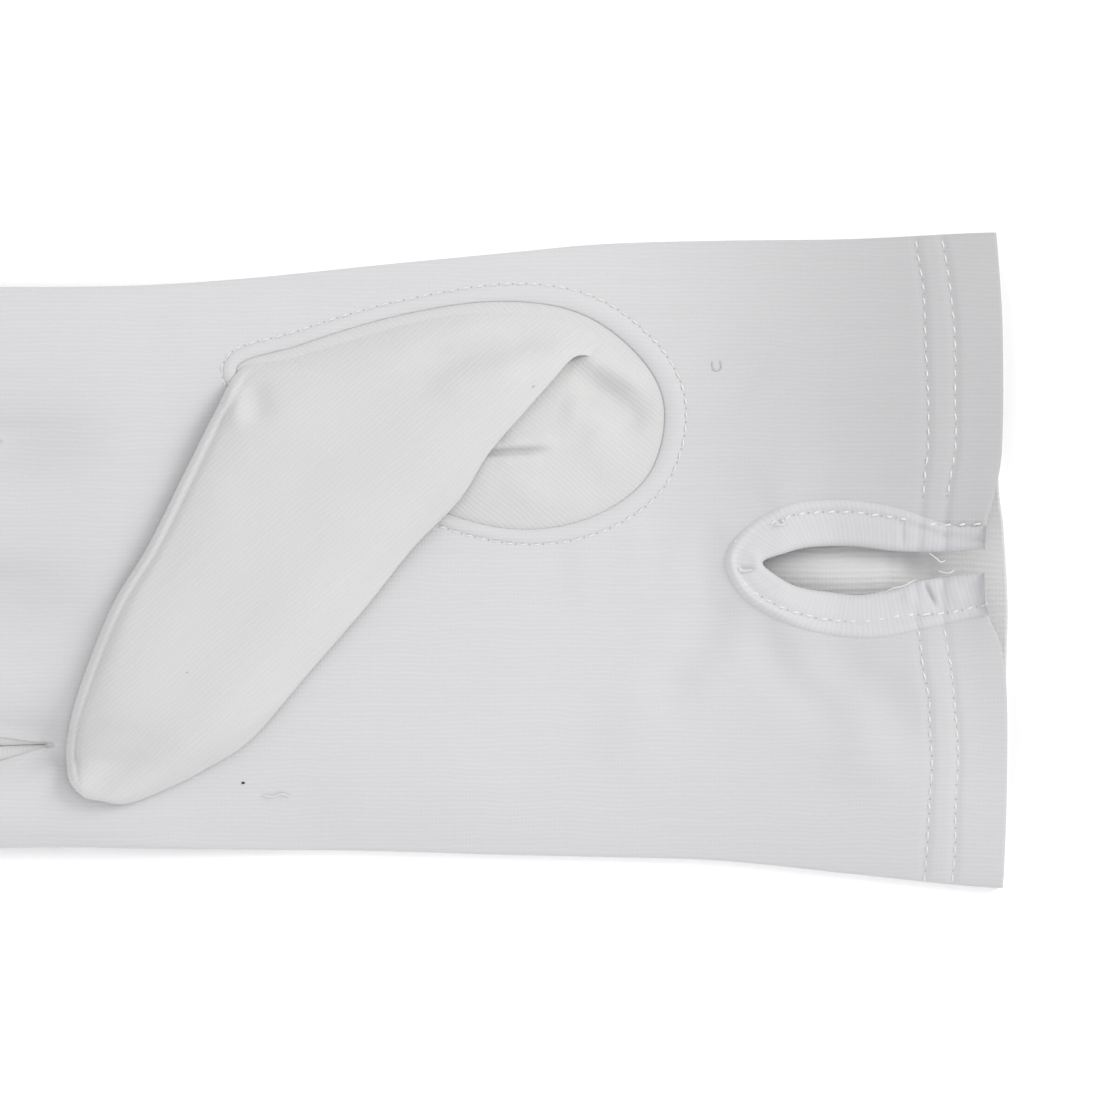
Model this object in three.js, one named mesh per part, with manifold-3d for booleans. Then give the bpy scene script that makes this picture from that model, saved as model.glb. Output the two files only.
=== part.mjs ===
// Fine cotton parade glove for the right hand, lying on its back with the palm up.
// Millimetres, +Z up, +X towards the cuff, +Y towards the index finger.
// The origin is under the middle of the glove, on the surface that it lies on.

import * as THREE from 'three';
import { mergeVertices } from 'three/addons/utils/BufferGeometryUtils.js';
import Module from 'manifold-3d';

const wasm = await Module();
wasm.setup();

// Cloth
const clothWall = 1;
const seamGap = 0.3;

// Hand: palm, side folds and cuff
const gloveLength = 251.6;
const cuffWidth = 109.6;
const palmLength = 170.3;
const palmHeight = 10;
const sideHeight = 2.4;
const crownPower = 3;
const backSeamHeight = 1.3;
const hemDepth = 13;
const crotchRound = 8;

// Fingers
const fingerHeight = 7.6;
const fingerTopSeamHeight = 4.6;
const fourchetteInset = 3;
const fourchetteTipDistance = 13;

// Sections of fingers and thumb: height share of the widest place, share of that height that the
// rounded floor would reach down to, and how square the rounding is
const widestShare = 0.42;
const floorShare = 1.35;
const sectionSquareness = 0.7;

// Thumb and the hole that it is set into
const thumbLength = 74.8;
const thumbHeight = 7.6;
const thumbHoleLength = 71.5;
const thumbHoleWidth = 38.2;
const thumbHoleFromCuff = 93.3;
const thumbHoleFromMiddle = 24.2;
const thumbBaseRise = 3.2;
const thumbRestGap = 0.45;
const weltWidth = 2.9;
const weltHeight = 0.75;

// Wrist vent and its ribbed binding
const ventLength = 47.5;
const ventWidth = 23.2;
const ventFromMiddle = 1.4;
const bindingThickness = 1.8;
const bindingRise = 0.6;

// Flat faces that meet within this distance are merged, which leaves out slivers
const flatTolerance = 0.04;

const cuffX = gloveLength / 2;
const halfCuff = cuffWidth / 2;
const fingerReach = gloveLength - palmLength;

// Side folds seen from above: at is the share of the palm length from the cuff,
// index and little are each side's distance from the middle as shares of half the cuff width.
const sideRows = [
  { at: -0.05, index: 1.0, little: 1.0 },
  { at: 0.02, index: 1.0, little: 1.0 },
  { at: 0.156, index: 0.98, little: 0.958 },
  { at: 0.284, index: 0.975, little: 0.918 },
  { at: 0.401, index: 0.964, little: 0.907 },
  { at: 0.499, index: 0.936, little: 0.9 },
  { at: 0.597, index: 0.907, little: 0.891 },
  { at: 0.763, index: 0.856, little: 0.88 },
  { at: 0.876, index: 0.836, little: 0.878 },
  { at: 1.1, index: 0.834, little: 0.874 },
];

// Line through the finger crotches: at is the share of half the cuff width, reach of the palm length.
const crotchRows = [
  { at: -1.0, reach: 0.925 },
  { at: -0.56, reach: 0.946 },
  { at: -0.1, reach: 1.012 },
  { at: 0.36, reach: 1.0 },
  { at: 1.0, reach: 0.99 },
];

// Cuff edges of the palm and of the back: at is the share of half the cuff width,
// palm and back are how far each edge lies inside the glove's end, as shares of the hem depth.
const cuffRows = [
  { at: -1.1, palm: 0.12, back: 0.12 },
  { at: -0.96, palm: 0.06, back: 0.06 },
  { at: -0.45, palm: 0.04, back: 0.03 },
  { at: -0.26, palm: 0.12, back: 0.01 },
  { at: -0.14, palm: 0.32, back: 0.0 },
  { at: 0.11, palm: 0.31, back: 0.06 },
  { at: 0.2, palm: 0.2, back: 0.11 },
  { at: 0.33, palm: 0.11, back: 0.13 },
  { at: 0.7, palm: 0.09, back: 0.11 },
  { at: 0.95, palm: 0.14, back: 0.16 },
  { at: 1.1, palm: 0.18, back: 0.2 },
];

// Soft folds of the palm's cloth. Along is a share of the palm length from the cuff, across of half
// the cuff width from the middle, rise of the palm height and width of the cuff width.
const palmFolds = [
  { startAlong: 0.29, startAcross: -0.1, endAlong: 0.38, endAcross: -0.55, rise: -0.07, width: 0.05 },
  { startAlong: 0.2, startAcross: -0.33, endAlong: 0.33, endAcross: -0.72, rise: 0.06, width: 0.05 },
  { startAlong: 0.1, startAcross: -0.45, endAlong: 0.24, endAcross: -0.8, rise: -0.06, width: 0.05 },
  { startAlong: 0.36, startAcross: 0.3, endAlong: 0.31, endAcross: 0.0, rise: 0.05, width: 0.05 },
  { startAlong: 0.44, startAcross: -0.5, endAlong: 0.66, endAcross: -0.62, rise: 0.05, width: 0.06 },
  { startAlong: 0.96, startAcross: 0.39, endAlong: 1.0, endAcross: 0.38, rise: -0.12, width: 0.03 },
];

// Fingers at their base and tip: index and little are the sides at the base and tip the middle of the tip,
// all as shares of half the cuff width, base and length are shares of the palm length and finger reach.
const fingers = [
  { name: 'index', index: 0.834, little: 0.387, tip: 0.655, base: 1.0, length: 0.9 },
  { name: 'middle', index: 0.336, little: -0.073, tip: 0.145, base: 1.0, length: 1.0 },
  { name: 'ring', index: -0.124, little: -0.533, tip: -0.355, base: 0.985, length: 0.94 },
  { name: 'little', index: -0.591, little: -0.876, tip: -0.785, base: 0.945, length: 0.77 },
];
const fingerTipWidth = 0.82;

// Finger sections from inside the palm to the tip, as shares of the finger's length, width and height
const fingerSections = [
  { at: -0.28, width: 0.8, height: 0.5 },
  { at: -0.14, width: 0.9, height: 0.78 },
  { at: 0.0, width: 1.0, height: 0.96 },
  { at: 0.2, width: 1.0, height: 1.0 },
  { at: 0.62, width: 1.0, height: 1.0 },
  { at: 0.84, width: 0.97, height: 0.97 },
  { at: 0.92, width: 0.86, height: 0.9 },
  { at: 0.97, width: 0.65, height: 0.76 },
  { at: 1.0, width: 0.28, height: 0.5 },
];

// Outline of the thumb hole, as shares of its length and width from its middle
const holeRows = [
  { along: -0.499, across: 0.183 },
  { along: -0.35, across: 0.306 },
  { along: -0.117, across: 0.437 },
  { along: 0.112, across: 0.498 },
  { along: 0.303, across: 0.445 },
  { along: 0.443, across: 0.253 },
  { along: 0.501, across: 0.022 },
  { along: 0.462, across: -0.266 },
  { along: 0.326, across: -0.45 },
  { along: 0.14, across: -0.498 },
  { along: -0.07, across: -0.384 },
  { along: -0.303, across: -0.131 },
];

// Thumb sections that lie free on the palm, from the tip to the crotch: both edges are shares of the
// thumb length from the crotch, lift and height are shares of the thumb height.
const freeThumbSections = [
  { leftX: -0.354, leftY: -0.929, rightX: -0.314, rightY: -0.951, lift: 0.16, height: 0.3 },
  { leftX: -0.374, leftY: -0.898, rightX: -0.243, rightY: -0.96, lift: 0.06, height: 0.62 },
  { leftX: -0.379, leftY: -0.837, rightX: -0.154, rightY: -0.927, lift: 0.0, height: 0.84 },
  { leftX: -0.365, leftY: -0.759, rightX: -0.069, rightY: -0.884, lift: 0.0, height: 0.95 },
  { leftX: -0.327, leftY: -0.646, rightX: 0.036, rightY: -0.815, lift: 0.0, height: 1.0 },
  { leftX: -0.269, leftY: -0.508, rightX: 0.165, rightY: -0.666, lift: 0.0, height: 1.0 },
  { leftX: -0.194, leftY: -0.385, rightX: 0.287, rightY: -0.526, lift: 0.02, height: 1.02 },
  { leftX: -0.114, leftY: -0.225, rightX: 0.394, rightY: -0.392, lift: 0.06, height: 1.04 },
  { leftX: -0.047, leftY: -0.091, rightX: 0.499, rightY: -0.283, lift: 0.1, height: 1.04 },
];

// Thumb sections over the hole: rim is the place of the left edge on the hole's outline, in rows,
// and the right edge follows the fold as shares of the hole's length and width.
const seatedThumbSections = [
  { rim: 0.1, along: 0.089, across: -0.175, liftLeft: -0.16, liftRight: 0.16, height: 1.0 },
  { rim: 0.7, along: 0.177, across: 0.017, liftLeft: -0.34, liftRight: 0.26, height: 0.92 },
  { rim: 1.4, along: 0.235, across: 0.14, liftLeft: -0.36, liftRight: 0.24, height: 0.82 },
  { rim: 2.1, along: 0.291, across: 0.25, liftLeft: -0.36, liftRight: 0.18, height: 0.68 },
  { rim: 2.8, along: 0.343, across: 0.245, liftLeft: -0.34, liftRight: 0.08, height: 0.6 },
  { rim: 3.6, along: 0.392, across: 0.205, liftLeft: -0.3, liftRight: -0.04, height: 0.5 },
  { rim: 4.4, along: 0.435, across: 0.15, liftLeft: -0.26, liftRight: -0.16, height: 0.4 },
  { rim: 5.2, along: 0.468, across: 0.11, liftLeft: -0.24, liftRight: -0.22, height: 0.3 },
];

// Both edges of the vent's binding from the index side round the vent's end to the little-finger side,
// as shares of the vent's length from the glove's end and of its width from its middle.
const bindingRows = [
  { outerAlong: -0.08, outerAcross: 0.309, innerAlong: -0.08, innerAcross: 0.137 },
  { outerAlong: 0.077, outerAcross: 0.309, innerAlong: 0.077, innerAcross: 0.137 },
  { outerAlong: 0.221, outerAcross: 0.324, innerAlong: 0.221, innerAcross: 0.115 },
  { outerAlong: 0.396, outerAcross: 0.439, innerAlong: 0.396, innerAcross: 0.122 },
  { outerAlong: 0.586, outerAcross: 0.496, innerAlong: 0.551, innerAcross: 0.158 },
  { outerAlong: 0.779, outerAcross: 0.46, innerAlong: 0.702, innerAcross: 0.151 },
  { outerAlong: 0.93, outerAcross: 0.295, innerAlong: 0.789, innerAcross: 0.108 },
  { outerAlong: 1.0, outerAcross: 0.079, innerAlong: 0.867, innerAcross: 0.043 },
  { outerAlong: 0.958, outerAcross: -0.158, innerAlong: 0.814, innerAcross: -0.058 },
  { outerAlong: 0.853, outerAcross: -0.331, innerAlong: 0.747, innerAcross: -0.129 },
  { outerAlong: 0.702, outerAcross: -0.453, innerAlong: 0.649, innerAcross: -0.165 },
  { outerAlong: 0.495, outerAcross: -0.504, innerAlong: 0.505, innerAcross: -0.187 },
  { outerAlong: 0.284, outerAcross: -0.432, innerAlong: 0.333, innerAcross: -0.094 },
  { outerAlong: 0.091, outerAcross: -0.345, innerAlong: 0.123, innerAcross: -0.036 },
  { outerAlong: -0.08, outerAcross: -0.331, innerAlong: -0.08, innerAcross: -0.036 },
];

const lerp = THREE.MathUtils.lerp;
const clamp = THREE.MathUtils.clamp;

// A column of a table at any place between its rows, as a smooth cubic through the rows
function tableValue(rows, column, at, key = 'at') {
  const last = rows.length - 1;
  const place = clamp(at, rows[0][key], rows[last][key]);
  let i = 0;
  while (i < last - 1 && place > rows[i + 1][key]) i += 1;
  const span = rows[i + 1][key] - rows[i][key];
  const share = (place - rows[i][key]) / span;
  const slope = (n) => {
    const before = rows[Math.max(n - 1, 0)];
    const after = rows[Math.min(n + 1, last)];
    return ((after[column] - before[column]) / (after[key] - before[key])) * span;
  };
  const square = share * share;
  const cube = square * share;
  return (2 * cube - 3 * square + 1) * rows[i][column] + (cube - 2 * square + share) * slope(i)
    + (3 * square - 2 * cube) * rows[i + 1][column] + (cube - square) * slope(i + 1);
}

// A table with extra rows worked out between its own
function refined(rows, steps) {
  const table = rows.map((row, number) => ({ ...row, number }));
  const columns = Object.keys(rows[0]);
  const count = (rows.length - 1) * steps + 1;
  return Array.from({ length: count }, (unused, n) => Object.fromEntries(
    columns.map((column) => [column, tableValue(table, column, n / steps, 'number')])));
}

// Distances of the index and little-finger side folds from the middle at one place along the glove
function sidesAt(x) {
  const at = (cuffX - x) / palmLength;
  return {
    index: halfCuff * tableValue(sideRows, 'index', at),
    little: -halfCuff * tableValue(sideRows, 'little', at),
  };
}

// Height of a soft fold at a point: a rounded ridge or valley along a straight stretch
function foldHeight(fold, x, y) {
  const start = new THREE.Vector2(cuffX - fold.startAlong * palmLength, fold.startAcross * halfCuff);
  const end = new THREE.Vector2(cuffX - fold.endAlong * palmLength, fold.endAcross * halfCuff);
  const run = end.clone().sub(start);
  const offset = new THREE.Vector2(x, y).sub(start);
  const share = clamp(offset.dot(run) / run.lengthSq(), 0, 1);
  const distance = offset.sub(run.multiplyScalar(share)).length() / (fold.width * cuffWidth);
  return fold.rise * palmHeight * Math.exp(-distance * distance);
}

// Top surface of the palm: low side folds, a gentle crown and the soft folds of the cloth
function palmTop(x, y) {
  const { index, little } = sidesAt(x);
  const across = clamp((2 * y - index - little) / (index - little), -1, 1);
  const crown = 1 - Math.abs(across) ** crownPower;
  const folds = palmFolds.reduce((sum, fold) => sum + foldHeight(fold, x, y), 0);
  return sideHeight + crown * (palmHeight - sideHeight + folds);
}

// Closed body through rings of points, with each end closed round its middle.
// A last ring whose floor and top points coincide closes by itself.
function loft(rings, closedEnd = false) {
  const count = rings[0].length;
  const middle = (ring) => ring
    .reduce((sum, point) => sum.add(point), new THREE.Vector3())
    .divideScalar(count);
  const points = [...rings.flat(), middle(rings[0]), middle(rings[rings.length - 1])];
  const firstMiddle = rings.length * count;
  const lastRing = (rings.length - 1) * count;
  const triangles = [];
  for (let i = 0; i < count; i += 1) {
    const next = (i + 1) % count;
    for (let row = 0; row < lastRing; row += count) {
      triangles.push(row + i, row + next, row + count + i);
      triangles.push(row + next, row + count + next, row + count + i);
    }
    triangles.push(firstMiddle, next, i);
    if (!closedEnd) {
      triangles.push(firstMiddle + 1, lastRing + i, lastRing + next);
    }
  }
  return solidFrom(closedEnd ? points.slice(0, -1) : points, triangles);
}

// Closed band whose rings of points follow a closed path
function closedBand(rings) {
  const count = rings[0].length;
  const total = rings.length * count;
  const triangles = [];
  for (let row = 0; row < total; row += count) {
    const nextRow = (row + count) % total;
    for (let i = 0; i < count; i += 1) {
      const next = (i + 1) % count;
      triangles.push(row + i, row + next, nextRow + i);
      triangles.push(row + next, nextRow + next, nextRow + i);
    }
  }
  return solidFrom(rings.flat(), triangles);
}

// Solid with its faces turned outwards, from points and triangles
function solidFrom(points, triangles) {
  const geometry = new THREE.BufferGeometry().setFromPoints(points);
  geometry.setIndex(triangles);
  return solidOf(geometry);
}

function solidOf(geometry) {
  geometry.deleteAttribute('normal');
  geometry.deleteAttribute('uv');
  const merged = mergeVertices(geometry, 1e-4);
  const places = merged.attributes.position;
  const corners = Array.from(merged.index.array);
  const corner = (n) => new THREE.Vector3().fromBufferAttribute(places, corners[n]);
  const kept = [];
  let volume = 0;
  for (let n = 0; n < corners.length; n += 3) {
    if (new Set(corners.slice(n, n + 3)).size === 3) {
      kept.push(...corners.slice(n, n + 3));
      volume += corner(n).dot(corner(n + 1).cross(corner(n + 2)));
    }
  }
  return new wasm.Manifold(new wasm.Mesh({
    numProp: 3,
    vertProperties: new Float32Array(places.array),
    triVerts: new Uint32Array(volume < 0 ? kept.reverse() : kept),
  }));
}

// Upright body over a plan outline, between two heights
function upright(outline, bottom, top) {
  const shape = new THREE.Shape(outline.map((point) => new THREE.Vector2(point.x, point.y)));
  const geometry = new THREE.ExtrudeGeometry(shape, { depth: top - bottom, bevelEnabled: false });
  geometry.translate(0, 0, bottom);
  return solidOf(geometry);
}

const united = (solids) => solids.reduce((sum, solid) => sum.add(solid));

// Points round a flattened section: across runs from -1 to 1 and rise from -1, its floor, to 1, its top
const sectionSides = 14;
const sectionPoints = Array.from({ length: sectionSides }, (unused, n) => {
  const angle = ((n + 0.5) / sectionSides) * 2 * Math.PI;
  const soften = (value) => Math.sign(value) * Math.abs(value) ** sectionSquareness;
  return { across: soften(Math.cos(angle)), rise: soften(Math.sin(angle)) };
});

// Height of a section's point over its floor, inside a wall of the inset's thickness
function sectionHeight(rise, height, inset) {
  const widest = widestShare * height;
  const reach = rise > 0 ? height - widest : floorShare * widest;
  return Math.max(widest + rise * (reach - inset), inset);
}

// Palm and cuff

const palmPointsAcross = 15;
const palmStations = 25;
const crotchStations = [0.75, 0.5, 0.25, 0.08, 0];
const crotchLowShare = 0.6;
const crotchCurvePower = 3;
const foldAngles = [-Math.PI / 4, 0, Math.PI / 4];

// Height share near the crotch line, where the palm rounds over between the fingers
function crotchShare(share) {
  const left = clamp(((1 - share) * palmLength) / crotchRound, 0, 1);
  return lerp(crotchLowShare, 1, Math.sqrt(1 - (1 - left) ** 2));
}

function palmRing(share, inset) {
  const nominalX = cuffX - share * palmLength;
  const { index, little } = sidesAt(nominalX);
  const radius = Math.max(sideHeight / 2 - inset, seamGap / 2);
  const high = index - inset - radius;
  const low = little + inset + radius;
  const place = (y, z) => {
    const reach = tableValue(crotchRows, 'reach', y / halfCuff);
    const stretch = 1 + (reach - 1) * clamp(share, 0, 1) ** crotchCurvePower;
    return new THREE.Vector3(cuffX - share * palmLength * stretch, y, z);
  };
  const last = palmPointsAcross - 1;
  const across = Array.from({ length: palmPointsAcross }, (unused, n) => lerp(low, high, n / last));
  const top = (y) => Math.max(palmTop(nominalX, y) * crotchShare(share) - inset, inset + 2 * radius);
  const fold = (angle, edge, sign) => place(
    edge + sign * radius * Math.cos(angle), inset + radius + radius * Math.sin(angle));
  return [
    ...across.map((y) => place(y, inset)),
    ...foldAngles.map((angle) => fold(angle, high, 1)),
    ...across.map((y) => place(y, top(y))).reverse(),
    ...foldAngles.map((angle) => fold(angle, low, -1)).reverse(),
  ];
}

function palmBody(inset, firstShare, lastShare) {
  const even = Array.from(
    { length: palmStations }, (unused, n) => lerp(firstShare, lastShare, n / palmStations));
  const rounding = crotchStations.map((part) => lastShare - (part * crotchRound) / palmLength);
  const clearOfRounding = rounding[0] - crotchRound / (4 * palmLength);
  const shares = [...even.filter((share) => share < clearOfRounding), ...rounding];
  const rings = shares.map((share) => palmRing(share, inset));
  const seam = rings[rings.length - 1].map((point) => point.clone().setZ(inset + sideHeight / 2));
  return loft([...rings, seam], true);
}

// Fingers

function fingerPlace(finger, at) {
  const baseX = cuffX - finger.base * palmLength;
  const length = finger.length * fingerReach;
  const baseMiddle = ((finger.index + finger.little) / 2) * halfCuff;
  const baseWidth = (finger.index - finger.little) * halfCuff;
  const taper = lerp(1, fingerTipWidth, clamp(at, 0, 1));
  return {
    x: baseX - at * length,
    y: lerp(baseMiddle, finger.tip * halfCuff, at),
    half: (tableValue(fingerSections, 'width', at) * baseWidth * taper) / 2,
    height: tableValue(fingerSections, 'height', at) * fingerHeight,
    length,
  };
}

function fingerRing(finger, at, inset) {
  const { x, y, half, height } = fingerPlace(finger, at);
  return sectionPoints.map(({ across, rise }) => new THREE.Vector3(
    x, y + across * (half - inset), sectionHeight(rise, height, inset)));
}

function fingerBody(finger, inset) {
  const tipShare = 1 - inset / fingerPlace(finger, 1).length;
  return loft(fingerSections.map(({ at }) => fingerRing(finger, at * tipShare, inset)));
}

// Plan outline of the strip of cloth that faces both ways into the gap between two fingers
const gapSteps = 8;

function gapOutline(upper, lower, grow) {
  const crotchX = cuffX - ((upper.base + lower.base) / 2) * palmLength;
  const shorter = Math.max(fingerPlace(upper, 1).x, fingerPlace(lower, 1).x);
  const endX = shorter + fourchetteTipDistance - grow;
  const startX = crotchX + 2 * fourchetteInset + grow;
  const side = (finger, sign) => Array.from({ length: gapSteps + 1 }, (unused, n) => {
    const x = lerp(startX, endX, n / gapSteps);
    const base = fingerPlace(finger, 0);
    const at = clamp((base.x - x) / base.length, 0, 1);
    const { y, half } = fingerPlace(finger, at);
    return { x, y: y + sign * (half - fourchetteInset - grow) };
  });
  return [...side(upper, -1), ...side(lower, 1).reverse()];
}

// Thumb hole, its welt and the thumb

const holeX = cuffX - thumbHoleFromCuff;
const holeY = thumbHoleFromMiddle;
const holePoint = ({ along, across }) => new THREE.Vector3(
  holeX + along * thumbHoleLength, holeY + across * thumbHoleWidth, 0);
const holeCurve = new THREE.CatmullRomCurve3(holeRows.map(holePoint), true, 'centripetal');
const holeSteps = 42;

// Point of the hole's outline moved outwards by a distance in plan, at a share of its length
function holeEdge(share, outwards) {
  const wrapped = share - Math.floor(share);
  const point = holeCurve.getPoint(wrapped);
  const ahead = holeCurve.getTangent(wrapped);
  return new THREE.Vector2(point.x - ahead.y * outwards, point.y + ahead.x * outwards);
}

const holeOutline = (outwards) => Array.from(
  { length: holeSteps }, (unused, n) => holeEdge(n / holeSteps, outwards));

const onPalm = (x, y, rise) => new THREE.Vector3(x, y, palmTop(x, y) + rise);

// Cross-section of the welt: shares of its width outwards from the hole and of its height
const weltProfile = [
  { outwards: 0, rise: 0.4 },
  { outwards: 0.25, rise: 0.9 },
  { outwards: 0.65, rise: 1 },
  { outwards: 1, rise: 0.1 },
];

// Band round the hole that follows the palm, from outward distances and heights over the palm
function holeBand(profile) {
  return closedBand(Array.from({ length: holeSteps }, (unused, n) => profile.map(([outwards, rise]) => {
    const { x, y } = holeEdge(n / holeSteps, outwards);
    return onPalm(x, y, rise);
  })));
}

// Welt, or with room the space round it that the thumb leaves free
function weltBand(room) {
  const floor = room > 0 ? -2 * clothWall : -clothWall / 2;
  const last = weltProfile.length - 1;
  const above = weltProfile.map(({ outwards, rise }, n) => [
    outwards * weltWidth + room * lerp(-1, 1, n / last), rise * weltHeight + room]);
  return holeBand([[above[0][0], floor], ...above, [above[last][0], floor]]);
}

const moundShares = [1, 0.85, 0.6, 0.3, 0.02];
const moundMiddle = { along: 0.05, across: 0 };
const moundEdgeRise = 0.1;

// Low mound of cloth over the whole hole, which the thumb rises from
function thumbBase(inset) {
  const centre = holePoint(moundMiddle);
  const edge = holeOutline(-seamGap - inset);
  const floor = inset > 0 ? -3 * clothWall : -clothWall;
  const innermost = moundShares[moundShares.length - 1];
  const ringAt = (share, rise) => edge.map(({ x, y }) => {
    const px = lerp(centre.x, x, share);
    const py = lerp(centre.y, y, share);
    return onPalm(px, py, rise);
  });
  const top = moundShares.map((share) => ringAt(
    share, thumbBaseRise * (1 - share * share) + moundEdgeRise - inset));
  return loft([ringAt(innermost, floor), ringAt(1, floor), ...top]);
}

// Left and right edges of every thumb section, with the lift of each edge and the height
function thumbSections() {
  const crotch = holePoint(holeRows[0]);
  const free = freeThumbSections.map((row) => ({
    leftX: crotch.x + row.leftX * thumbLength,
    leftY: crotch.y + row.leftY * thumbLength,
    rightX: crotch.x + row.rightX * thumbLength,
    rightY: crotch.y + row.rightY * thumbLength,
    liftLeft: thumbRestGap + row.lift * thumbHeight,
    liftRight: thumbRestGap + row.lift * thumbHeight,
    height: row.height * thumbHeight,
  }));
  const seated = seatedThumbSections.map((row) => {
    const left = holeEdge(row.rim / holeRows.length, -2 * seamGap);
    const right = holePoint(row);
    return {
      leftX: left.x,
      leftY: left.y,
      rightX: right.x,
      rightY: right.y,
      liftLeft: row.liftLeft * thumbHeight,
      liftRight: row.liftRight * thumbHeight,
      height: row.height * thumbHeight,
    };
  });
  return refined([...free, ...seated], 2);
}

function thumbTube(inset) {
  return loft(thumbSections().map((row) => {
    const left = new THREE.Vector2(row.leftX, row.leftY);
    const right = new THREE.Vector2(row.rightX, row.rightY);
    const trim = inset / left.distanceTo(right);
    return sectionPoints.map(({ across, rise }) => {
      const share = lerp(trim, 1 - trim, (1 + across) / 2);
      const place = left.clone().lerp(right, share);
      const lift = lerp(row.liftLeft, row.liftRight, share);
      return onPalm(place.x, place.y, lift + sectionHeight(rise, row.height, inset));
    });
  }));
}

// Vent and its binding

const ventPlace = (along, across) => new THREE.Vector2(
  cuffX - along * ventLength, across * ventWidth - ventFromMiddle);

function bindingBody() {
  return loft(refined(bindingRows, 2).map((row) => {
    const outer = ventPlace(row.outerAlong, row.outerAcross);
    const inner = ventPlace(row.innerAlong, row.innerAcross);
    const middle = bindingRise - bindingThickness / 2;
    return sectionPoints.map(({ across, rise }) => {
      const place = outer.clone().lerp(inner, (1 + across) / 2);
      return onPalm(place.x, place.y, middle + (rise * bindingThickness) / 2);
    });
  }));
}

function ventOutline() {
  const rows = refined(bindingRows, 2);
  const edge = rows.map((row) => ventPlace(row.outerAlong, row.outerAcross));
  return edge.map((point, n) => {
    const before = edge[Math.max(n - 1, 0)];
    const after = edge[Math.min(n + 1, edge.length - 1)];
    const ahead = after.clone().sub(before).normalize();
    return { x: point.x + ahead.y * seamGap, y: point.y - ahead.x * seamGap };
  });
}

const cuffSteps = 40;

// Everything beyond one layer's cuff edge
function beyondCuff(column) {
  const edge = Array.from({ length: cuffSteps + 1 }, (unused, n) => {
    const at = lerp(cuffRows[0].at, cuffRows[cuffRows.length - 1].at, n / cuffSteps);
    return { x: cuffX - tableValue(cuffRows, column, at) * hemDepth, y: at * halfCuff };
  });
  const far = cuffX + hemDepth;
  const outline = [...edge, { x: far, y: edge[cuffSteps].y }, { x: far, y: edge[0].y }];
  return upright(outline, -palmHeight, 3 * palmHeight);
}

// A box over the whole glove between two heights
function layer(bottom, top) {
  const reach = gloveLength;
  const corners = [[-1, -1], [1, -1], [1, 1], [-1, 1]];
  const outline = corners.map(([x, y]) => ({ x: x * reach, y: y * reach }));
  return upright(outline, bottom, top);
}

// The whole shell of the hand, open at the cuff

const cuffOverhang = 0.03;
const hemLap = 0.02;
const hemShare = hemDepth / palmLength;
const outerHand = united([palmBody(0, -cuffOverhang, 1), ...fingers.map((finger) => fingerBody(finger, 0))]);
const innerHand = united([
  palmBody(clothWall, hemShare, 1 - clothWall / palmLength),
  palmBody(2 * clothWall, -2 * cuffOverhang, hemShare + hemLap),
  ...fingers.map((finger) => fingerBody(finger, clothWall)),
]);
const shell = outerHand.subtract(innerHand);
const top = 3 * palmHeight;
const frontShell = shell.intersect(layer(backSeamHeight + seamGap / 2, top));

const backPanel = shell
  .intersect(layer(-clothWall, backSeamHeight - seamGap / 2))
  .subtract(beyondCuff('back'));

const gaps = fingers.slice(1).map((lower, n) => ({ upper: fingers[n], lower }));
const fourchettes = gaps.map(({ upper, lower }) => ({
  name: `fourchette_${upper.name}_${lower.name}`,
  solid: frontShell.intersect(
    upright(gapOutline(upper, lower, 0), 0, fingerTopSeamHeight - seamGap / 2)),
}));
const fourchetteRoom = united(gaps.map(({ upper, lower }) => upright(
  gapOutline(upper, lower, seamGap), 0, fingerTopSeamHeight + seamGap / 2)));

const palmPanel = frontShell
  .subtract(fourchetteRoom)
  .subtract(beyondCuff('palm'))
  .subtract(upright(holeOutline(0), backSeamHeight, top))
  .subtract(upright(ventOutline(), backSeamHeight, top))
  .add(weltBand(0));

const thumb = thumbTube(0).add(thumbBase(0))
  .subtract(thumbTube(clothWall).add(thumbBase(clothWall)))
  .subtract(weltBand(seamGap));

const ventBinding = bindingBody().subtract(beyondCuff('palm'));

function cloth(name, solid, colour) {
  const { vertProperties, triVerts } = solid.asOriginal().simplify(flatTolerance).getMesh();
  const geometry = new THREE.BufferGeometry();
  geometry.setAttribute('position', new THREE.BufferAttribute(new Float32Array(vertProperties), 3));
  geometry.setIndex(new THREE.BufferAttribute(new Uint32Array(triVerts), 1));
  geometry.computeVertexNormals();
  const material = new THREE.MeshStandardMaterial({ color: colour, roughness: 0.9, metalness: 0 });
  const mesh = new THREE.Mesh(geometry, material);
  mesh.name = name;
  return mesh;
}

const glove = new THREE.Group();
glove.add(cloth('palm_panel', palmPanel, 0xecebea));
glove.add(cloth('back_panel', backPanel, 0xe8e7e6));
glove.add(cloth('thumb', thumb, 0xedecec));
glove.add(cloth('vent_binding', ventBinding, 0xe9e9ea));
for (const { name, solid } of fourchettes) {
  glove.add(cloth(name, solid, 0xe6e5e4));
}

export default glove;
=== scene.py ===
# %% [markdown]
# A white cotton parade glove lies palm up with its thumb folded over the palm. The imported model
# gives its pieces as plain solids at their real size. This lesson dresses each of them in knitted
# cloth, in the same frame: millimetres in the shape functions, metres in Blender, +Z up, +X to
# the cuff and +Y to the index finger.

# %% Load the frame
import math

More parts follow.
